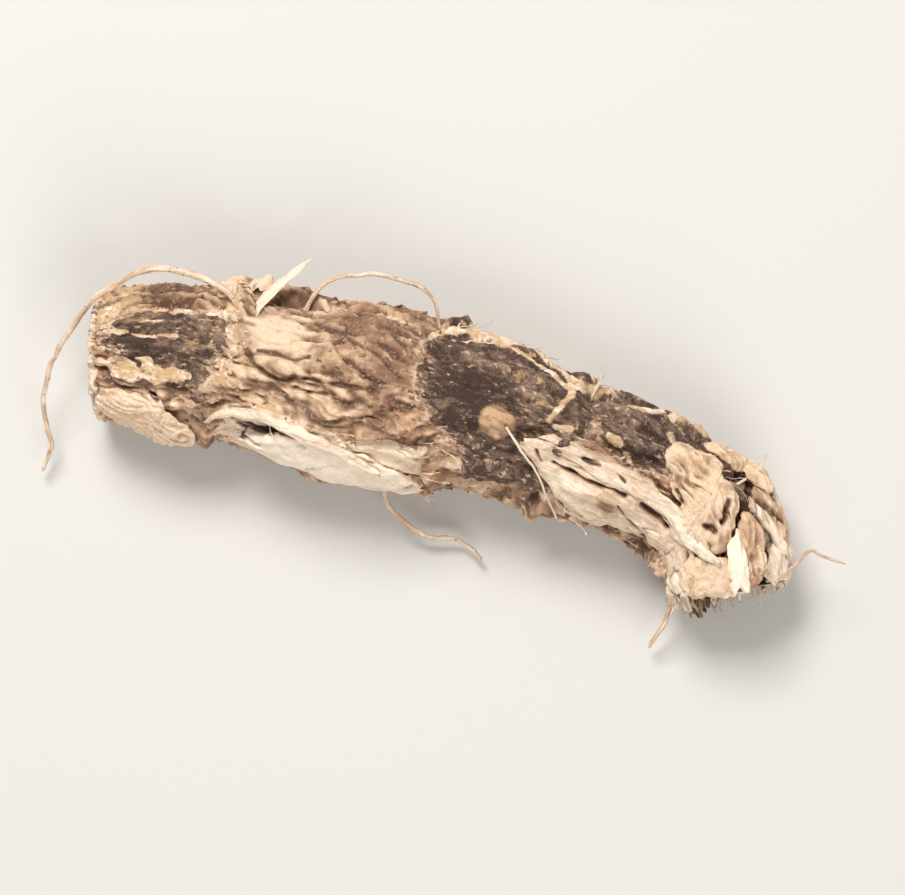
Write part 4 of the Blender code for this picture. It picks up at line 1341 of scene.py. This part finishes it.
def make_rootlet(name, width, flat, points):
    """A thin root along a smooth line through the points, kinked, knobbly and ribbed as it dried."""
    length = sum((Vector(b) - Vector(a)).length for a, b in zip(points, points[1:]))
    steps = max(16, round(length / ROOTLET_STEP))
    seed = len(name) + points[0][0]
    centres = []
    for k in range(steps + 1):
        u = k / steps
        kink = KINK * smooth_step(0.05, 0.2, u) * (1 - smooth_step(0.97, 1.0, u))
        sway = noise.noise_vector(Vector((u * length * 0.55, seed, 0))) * kink
        sway += noise.noise_vector(Vector((u * length * 1.6, seed, 5))) * kink * 0.3
        centres.append(Vector(through(points, u)) + sway)
    rings, grain = [], []
    ahead = (centres[1] - centres[0]).normalized()
    side = ahead.orthogonal().normalized()
    for k, centre in enumerate(centres):
        u = k / steps
        ahead = (centres[min(k + 1, steps)] - centres[max(k - 1, 0)]).normalized()
        side = (side - ahead * side.dot(ahead)).normalized()
        up = ahead.cross(side)
        if flat < FLAT_SPLINTER:
            taper = 0.30 + 0.85 * math.sin(math.pi * min(u + 0.12, 1.0)) ** 0.8
        else:
            taper = 1.0 - 0.45 * u
        taper *= 1 + 0.22 * noise_at(u * length * 0.9, seed, 3.0)
        taper *= math.sqrt(max(1 - smooth_step(0.94, 1.0, u) ** 2, 0.02))
        ring = []
        for j in range(ROOTLET_SIDES):
            turn = 2 * math.pi * j / ROOTLET_SIDES
            x, y = math.cos(turn), math.sin(turn)
            knob = noise_at(u * length * 1.4, x + seed, y)
            fine = noise_at(u * length * 4.5, 2 * x + seed, 2 * y)
            ribs = noise_at(u * length * 0.5, 4 * x + seed, 4 * y)
            radius = width / 2 * taper * (1 + KNOB * knob + 0.12 * fine + 2 * SKIN_RIBS * ribs)
            point = centre + (side * x + up * y * flat) * radius
            point.z = max(point.z, RESTING_HEIGHT)
            ring.append(point)
            grain.append((u * length + seed, x * 0.3, y * 0.3))
        rings.append(ring)
    mesh = mesh_from_rings(name, rings)
    set_attribute(mesh, "grain", "FLOAT_VECTOR", grain + [grain[0], grain[-1]])
    set_attribute(mesh, "splinter", "FLOAT", [0.85 * (flat < SPLINTER_FLATNESS)] * len(mesh.vertices))
    return mesh


rootlet_skin = rootlet_material()
for name, *shape in ROOTLETS:
    add_piece(name, make_rootlet(name, *shape), rootlet_skin)


# The fine frayed fibres: threads of wood as fine as hair that stand off every peeled edge and off
# the torn end. They follow the grain.

FIBRE_DENSITY = 2.4  # threads in a square millimetre where the surface is frayed
FIBRE_LENGTH = 1.2
FIBRE_THICKNESS = 0.04
FIBRE_SEED = 4
FIBRE_ROUGHNESS = 0.7


class Growth(Nodes):
    """A Geometry Nodes tree that lays loose bits over the body, with its sizes as named inputs."""

    def __init__(self, name, sizes):
        super().__init__(bpy.data.node_groups.new(name, "GeometryNodeTree"))
        self.tree.interface.new_socket("Body", in_out="INPUT", socket_type="NodeSocketGeometry")
        self.tree.interface.new_socket("Bits", in_out="OUTPUT", socket_type="NodeSocketGeometry")
        kinds = {float: "NodeSocketFloat", int: "NodeSocketInt"}
        for size, value in sizes.items():
            self.tree.interface.new_socket(size, in_out="INPUT", socket_type=kinds[type(value)])
        self.sizes = sizes

    def given(self, name):
        return self.add("NodeGroupInput", output=name)

    def named(self, name, kind="FLOAT"):
        return self.add("GeometryNodeInputNamedAttribute", {"data_type": kind}, {"Name": name})

    def vector(self, operation, *terms):
        output = "Value" if operation == "DOT_PRODUCT" else "Vector"
        inputs = dict(enumerate(terms))
        return self.add("ShaderNodeVectorMath", {"operation": operation}, inputs, output)

    def random(self, low, high, seed):
        kind = "FLOAT_VECTOR" if isinstance(low, tuple) else "FLOAT"
        first = 0 if isinstance(low, tuple) else 2
        inputs = {first: low, first + 1: high, "Seed": seed}
        return self.add("FunctionNodeRandomValue", {"data_type": kind}, inputs, 0 if first == 0 else 1)

    def scattered(self, where, density):
        """Points over the body, as dense as an attribute says, and the way out at each."""
        share = density * self.named(where)
        inputs = {"Mesh": self.given("Body"), "Density": share, "Seed": self.given("Seed")}
        points = self.add("GeometryNodeDistributePointsOnFaces", {}, inputs)
        return points, Value(self, points.socket.node.outputs["Normal"])

    def times(self, vector, factor):
        """A vector made longer or shorter by a value."""
        return self.add("ShaderNodeVectorMath", {"operation": "SCALE"}, {0: vector, "Scale": factor})

    def pushed(self, shape, size, amount):
        """The shape with each point pushed about by noise. Its bumps are of one size, in mm."""
        inputs = {"Vector": self.add("GeometryNodeInputPosition"), "Scale": 1 / (size * MM), "Detail": 1.0}
        bumps = self.add("ShaderNodeTexNoise", {}, inputs, "Color")
        offset = self.times(self.vector("SUBTRACT", bumps, (0.5, 0.5, 0.5)), amount)
        return self.add("GeometryNodeSetPosition", {}, {"Geometry": shape, "Offset": offset})

    def laid(self, points, bit, lie, way_out, scale):
        """The bit on every point, its X axis along the lie and its Z axis outwards."""
        turned = self.add("FunctionNodeAlignRotationToVector", {"axis": "Z"}, {"Vector": way_out})
        settings = {"axis": "X", "pivot_axis": "Z"}
        inputs = {"Rotation": turned, "Vector": lie}
        turned = self.add("FunctionNodeAlignRotationToVector", settings, inputs)
        return self.placed(points, bit, turned, scale)

    def placed(self, points, bit, turned, scale):
        """The bit on every point, turned and scaled, made real."""
        inputs = {"Points": points, "Instance": bit, "Rotation": turned, "Scale": scale}
        bits = self.add("GeometryNodeInstanceOnPoints", {}, inputs)
        return self.add("GeometryNodeRealizeInstances", {}, {0: bits})

    def grow(self, name, shape, material):
        """Ends the tree, runs it over the body's mesh and gives the plain mesh that comes out."""
        place = self.add("ShaderNodeSeparateXYZ", {}, {"Vector": self.add("GeometryNodeInputPosition")})
        x, y, z = (Value(self, output) for output in place.socket.node.outputs)
        z = z.math("MINIMUM", z.math("MAXIMUM", z, RESTING_HEIGHT * MM), CREST_HEIGHT_LIMIT * MM)
        kept = self.add("ShaderNodeCombineXYZ", {}, {"X": x, "Y": y, "Z": z})
        shape = self.add("GeometryNodeSetPosition", {}, {"Geometry": shape, "Position": kept})
        finished = self.add("GeometryNodeSetMaterial", {}, {"Geometry": shape, "Material": material})
        self.tree.links.new(finished.socket, self.tree.nodes.new("NodeGroupOutput").inputs["Bits"])
        carrier = bpy.data.objects.new(name + "_carrier", body.data.copy())
        bpy.context.scene.collection.objects.link(carrier)
        modifier = carrier.modifiers.new("growth", "NODES")
        modifier.node_group = self.tree
        for socket in self.tree.interface.items_tree:
            if socket.name in self.sizes:
                modifier[socket.identifier] = self.sizes[socket.name]
        bpy.context.view_layer.update()
        evaluated = carrier.evaluated_get(bpy.context.evaluated_depsgraph_get())
        grown = bpy.data.meshes.new_from_object(evaluated)
        grown.name = name
        bpy.data.objects.remove(carrier)
        return grown


def fibre_material():
    """Single threads of dried wood, cream to tan."""
    material, s, shader = new_material("wood_threads")
    place = s.add("ShaderNodeTexCoord", output="Object")
    tone = s.noise(s.scaled(place, 900.0, 900.0, 900.0), 3.0, 0.6)
    s.feed(shader, "Base Color", s.mix(s.rise(tone, 0.38, 0.6), TAN_MIDDLE, CREAM))
    shader.inputs["Roughness"].default_value = FIBRE_ROUGHNESS
    return material


def grow_fibres(material):
    """Threads with three sides, each tapering, bent by noise and lying near the grain."""
    sizes = {"Density": FIBRE_DENSITY / MM**2, "Seed": FIBRE_SEED}
    sizes.update({"Length": FIBRE_LENGTH * MM, "Thickness": FIBRE_THICKNESS * MM})
    g = Growth("frayed_fibres", sizes)
    line = g.add("GeometryNodeCurvePrimitiveLine", {}, {"Start": (-0.15, 0, 0), "End": (1, 0, 0)})
    line = g.add("GeometryNodeResampleCurve", {}, {"Curve": line, "Count": 6})
    share = g.add("GeometryNodeSplineParameter", output="Factor")
    line = g.add("GeometryNodeSetCurveRadius", {}, {"Curve": line, "Radius": 1.0 - 0.7 * share})
    inputs = {"Geometry": line, "Name": "tip", "Value": share}
    line = g.add("GeometryNodeStoreNamedAttribute", {"domain": "POINT"}, inputs)
    profile = g.add("GeometryNodeCurvePrimitiveCircle", {}, {"Resolution": 3, "Radius": 1.0})
    inputs = {"Curve": line, "Profile Curve": profile, "Fill Caps": True}
    thread = g.add("GeometryNodeCurveToMesh", {}, inputs)
    points, way_out = g.scattered("fray", g.given("Density"))
    side_sway = g.random((-0.55, -0.55, -0.25), (0.55, 0.55, 0.45), FIBRE_SEED + 1)
    stand = g.times(way_out, g.random(0.05, 0.5, FIBRE_SEED + 2))
    lie = g.vector("ADD", g.vector("ADD", g.named("forward", "FLOAT_VECTOR"), side_sway), stand)
    long = g.given("Length") * g.random(0.35, 1.5, FIBRE_SEED + 3)
    thick = g.given("Thickness") * g.random(0.4, 1.3, FIBRE_SEED + 5)
    scale = g.add("ShaderNodeCombineXYZ", {}, {"X": long, "Y": thick, "Z": thick})
    turned = g.add("FunctionNodeAlignRotationToVector", {"axis": "X"}, {"Vector": lie})
    threads = g.placed(points, thread, turned, scale)
    threads = g.pushed(threads, 0.9, 1.1 * MM * g.named("tip"))
    return g.grow("frayed_fibres", threads, material)


fibre_skin = fibre_material()
add_piece("frayed_fibres", grow_fibres(fibre_skin), fibre_skin)


# The scales and crumbs: thin curled scales of cork that lift off the bark, and crumbs of cork and
# pith that cling round the dark plates, on the ring scar and at both ends.

SCALE_DENSITY = 2.6  # scales in a square millimetre where the bark is scaly
SCALE_LENGTH = 0.28
SCALE_SEED = 9
CRUMB_DENSITY = 7.5  # crumbs in a square millimetre where the bark is crumbly
CRUMB_SIZE = 0.12
CRUMB_SEED = 2
CORK_ROUGHNESS = 0.9


def cork_material(name, dark_tone, light_tone):
    """Loose cork: dry and matt, mottled between two tones from piece to piece."""
    material, s, shader = new_material(name)
    place = s.add("ShaderNodeTexCoord", output="Object")
    tone = s.noise(s.scaled(place, 600.0, 600.0, 600.0), 3.0, 0.6)
    grit = s.noise(s.scaled(place, 5000.0, 5000.0, 5000.0), 2.0, 0.6)
    cork = s.coated(dark_tone, (tone, 0.36, 0.62, 1.0, light_tone), (grit, 0.55, 0.75, 0.5, RING_BROWN))
    s.feed(shader, "Base Color", cork)
    shader.inputs["Roughness"].default_value = CORK_ROUGHNESS
    s.feed(shader, "Normal", s.bump(grit, 0.04, 0.7))
    return material


def grow_scales(material):
    """Scales with a curl, each with its long side along the grain and its outer end lifted."""
    sizes = {"Density": SCALE_DENSITY / MM**2, "Length": SCALE_LENGTH * MM, "Seed": SCALE_SEED}
    g = Growth("bark_scales", sizes)
    inputs = {"Size": (1.0, 0.55, 0.08), "Vertices X": 5, "Vertices Y": 4, "Vertices Z": 2}
    scale_shape = g.add("GeometryNodeMeshCube", {}, inputs)
    place = g.add("ShaderNodeSeparateXYZ", {}, {"Vector": g.add("GeometryNodeInputPosition")}, "X")
    lifted = (place + 0.5) * (place + 0.5) * 0.22
    offset = g.add("ShaderNodeCombineXYZ", {}, {"Z": lifted})
    scale_shape = g.add("GeometryNodeSetPosition", {}, {"Geometry": scale_shape, "Offset": offset})
    points, way_out = g.scattered("scaly", g.given("Density"))
    askew = g.random((-0.35, -0.35, -0.2), (0.35, 0.35, 0.2), SCALE_SEED + 1)
    lie = g.vector("ADD", g.named("forward", "FLOAT_VECTOR"), askew)
    sized = g.given("Length") * g.random(0.3, 1.3, SCALE_SEED + 2)
    scales = g.laid(points, scale_shape, lie, way_out, sized)
    scales = g.pushed(scales, 0.30, 0.30 * MM)
    return g.grow("bark_scales", scales, material)


def grow_crumbs(material):
    """Angular crumbs, each a rough ball pushed out of shape."""
    sizes = {"Density": CRUMB_DENSITY / MM**2, "Size": CRUMB_SIZE * MM, "Seed": CRUMB_SEED}
    g = Growth("cork_crumbs", sizes)
    ball = g.add("GeometryNodeMeshIcoSphere", {}, {"Radius": 1.0, "Subdivisions": 2})
    points, way_out = g.scattered("crumbly", g.given("Density"))
    lie = g.random((-1.0, -1.0, -1.0), (1.0, 1.0, 1.0), CRUMB_SEED + 1)
    sized = g.times(g.random((0.5, 0.4, 0.3), (1.7, 1.2, 0.8), CRUMB_SEED + 2), g.given("Size"))
    crumbs = g.laid(points, ball, lie, way_out, sized)
    crumbs = g.pushed(crumbs, 0.19, 0.22 * MM)
    return g.grow("cork_crumbs", crumbs, material)


scale_skin = cork_material("scaling_cork", TAN_DARK, TAN_PINKISH)
add_piece("bark_scales", grow_scales(scale_skin), scale_skin)
crumb_skin = cork_material("crumbled_cork", TAN_PINKISH, CREAM_TAN)
add_piece("cork_crumbs", grow_crumbs(crumb_skin), crumb_skin)


# What the root lies on and what lights it: a plain pale table, a wide soft light high on the
# left of the picture, a weaker one low on the right and an even sky.

TABLE_SIZE = 1.2
TABLE_COLOUR = screen_colour(212, 208, 202)
TABLE_ROUGHNESS = 0.9
KEY_LIGHT = ((-0.16, 0.20, 0.30), 0.16, 1.62)  # place, size and power
FILL_LIGHT = ((0.20, -0.24, 0.24), 0.25, 0.86)
SKY_COLOUR = (1.0, 0.99, 0.97, 1.0)
SKY_STRENGTH = 0.32
CAMERA_DISTANCE = 0.42
CAMERA_TURN = math.radians(18)  # the root slopes down to the right in the picture
CAMERA_OVER = (0.0003, -0.0012, 0.004)
SHOWN_WIDTH = 0.0530  # how much of the table the picture's width shows
SENSOR_WIDTH = 36.0


def add_table():
    """The pale table top under the root."""
    mesh = bpy.data.meshes.new("table_top")
    half = TABLE_SIZE / 2
    corners = [(-half, -half, 0), (half, -half, 0), (half, half, 0), (-half, half, 0)]
    mesh.from_pydata(corners, [], [(0, 1, 2, 3)])
    table_top = bpy.data.objects.new("table_top", mesh)
    bpy.context.scene.collection.objects.link(table_top)
    material, s, shader = new_material("table_paint")
    shader.inputs["Base Color"].default_value = TABLE_COLOUR
    shader.inputs["Roughness"].default_value = TABLE_ROUGHNESS
    mesh.materials.append(material)


def add_light(name, place, size, power):
    """A square soft light that faces the root."""
    lamp = bpy.data.lights.new(name, "AREA")
    lamp.size = size
    lamp.energy = power
    light = bpy.data.objects.new(name, lamp)
    light.location = place
    light.rotation_mode = "QUATERNION"
    light.rotation_quaternion = Vector(place).to_track_quat("Z", "Y")
    bpy.context.scene.collection.objects.link(light)


add_table()
add_light("key_light", *KEY_LIGHT)
add_light("fill_light", *FILL_LIGHT)

sky = bpy.data.worlds.new("even_sky")
sky.use_nodes = True
background = sky.node_tree.nodes["Background"]
background.inputs["Color"].default_value = SKY_COLOUR
background.inputs["Strength"].default_value = SKY_STRENGTH
bpy.context.scene.world = sky
bpy.context.scene.view_settings.view_transform = "Standard"

lens = bpy.data.cameras.new("camera")
lens.sensor_width = SENSOR_WIDTH
lens.lens = SENSOR_WIDTH * CAMERA_DISTANCE / SHOWN_WIDTH
lens.clip_start = 0.01
lens.clip_end = 10
camera = bpy.data.objects.new("camera", lens)
camera.location = Vector(CAMERA_OVER) + Vector((0, 0, CAMERA_DISTANCE))
camera.rotation_euler = (0, 0, CAMERA_TURN)
bpy.context.scene.collection.objects.link(camera)
bpy.context.scene.camera = camera
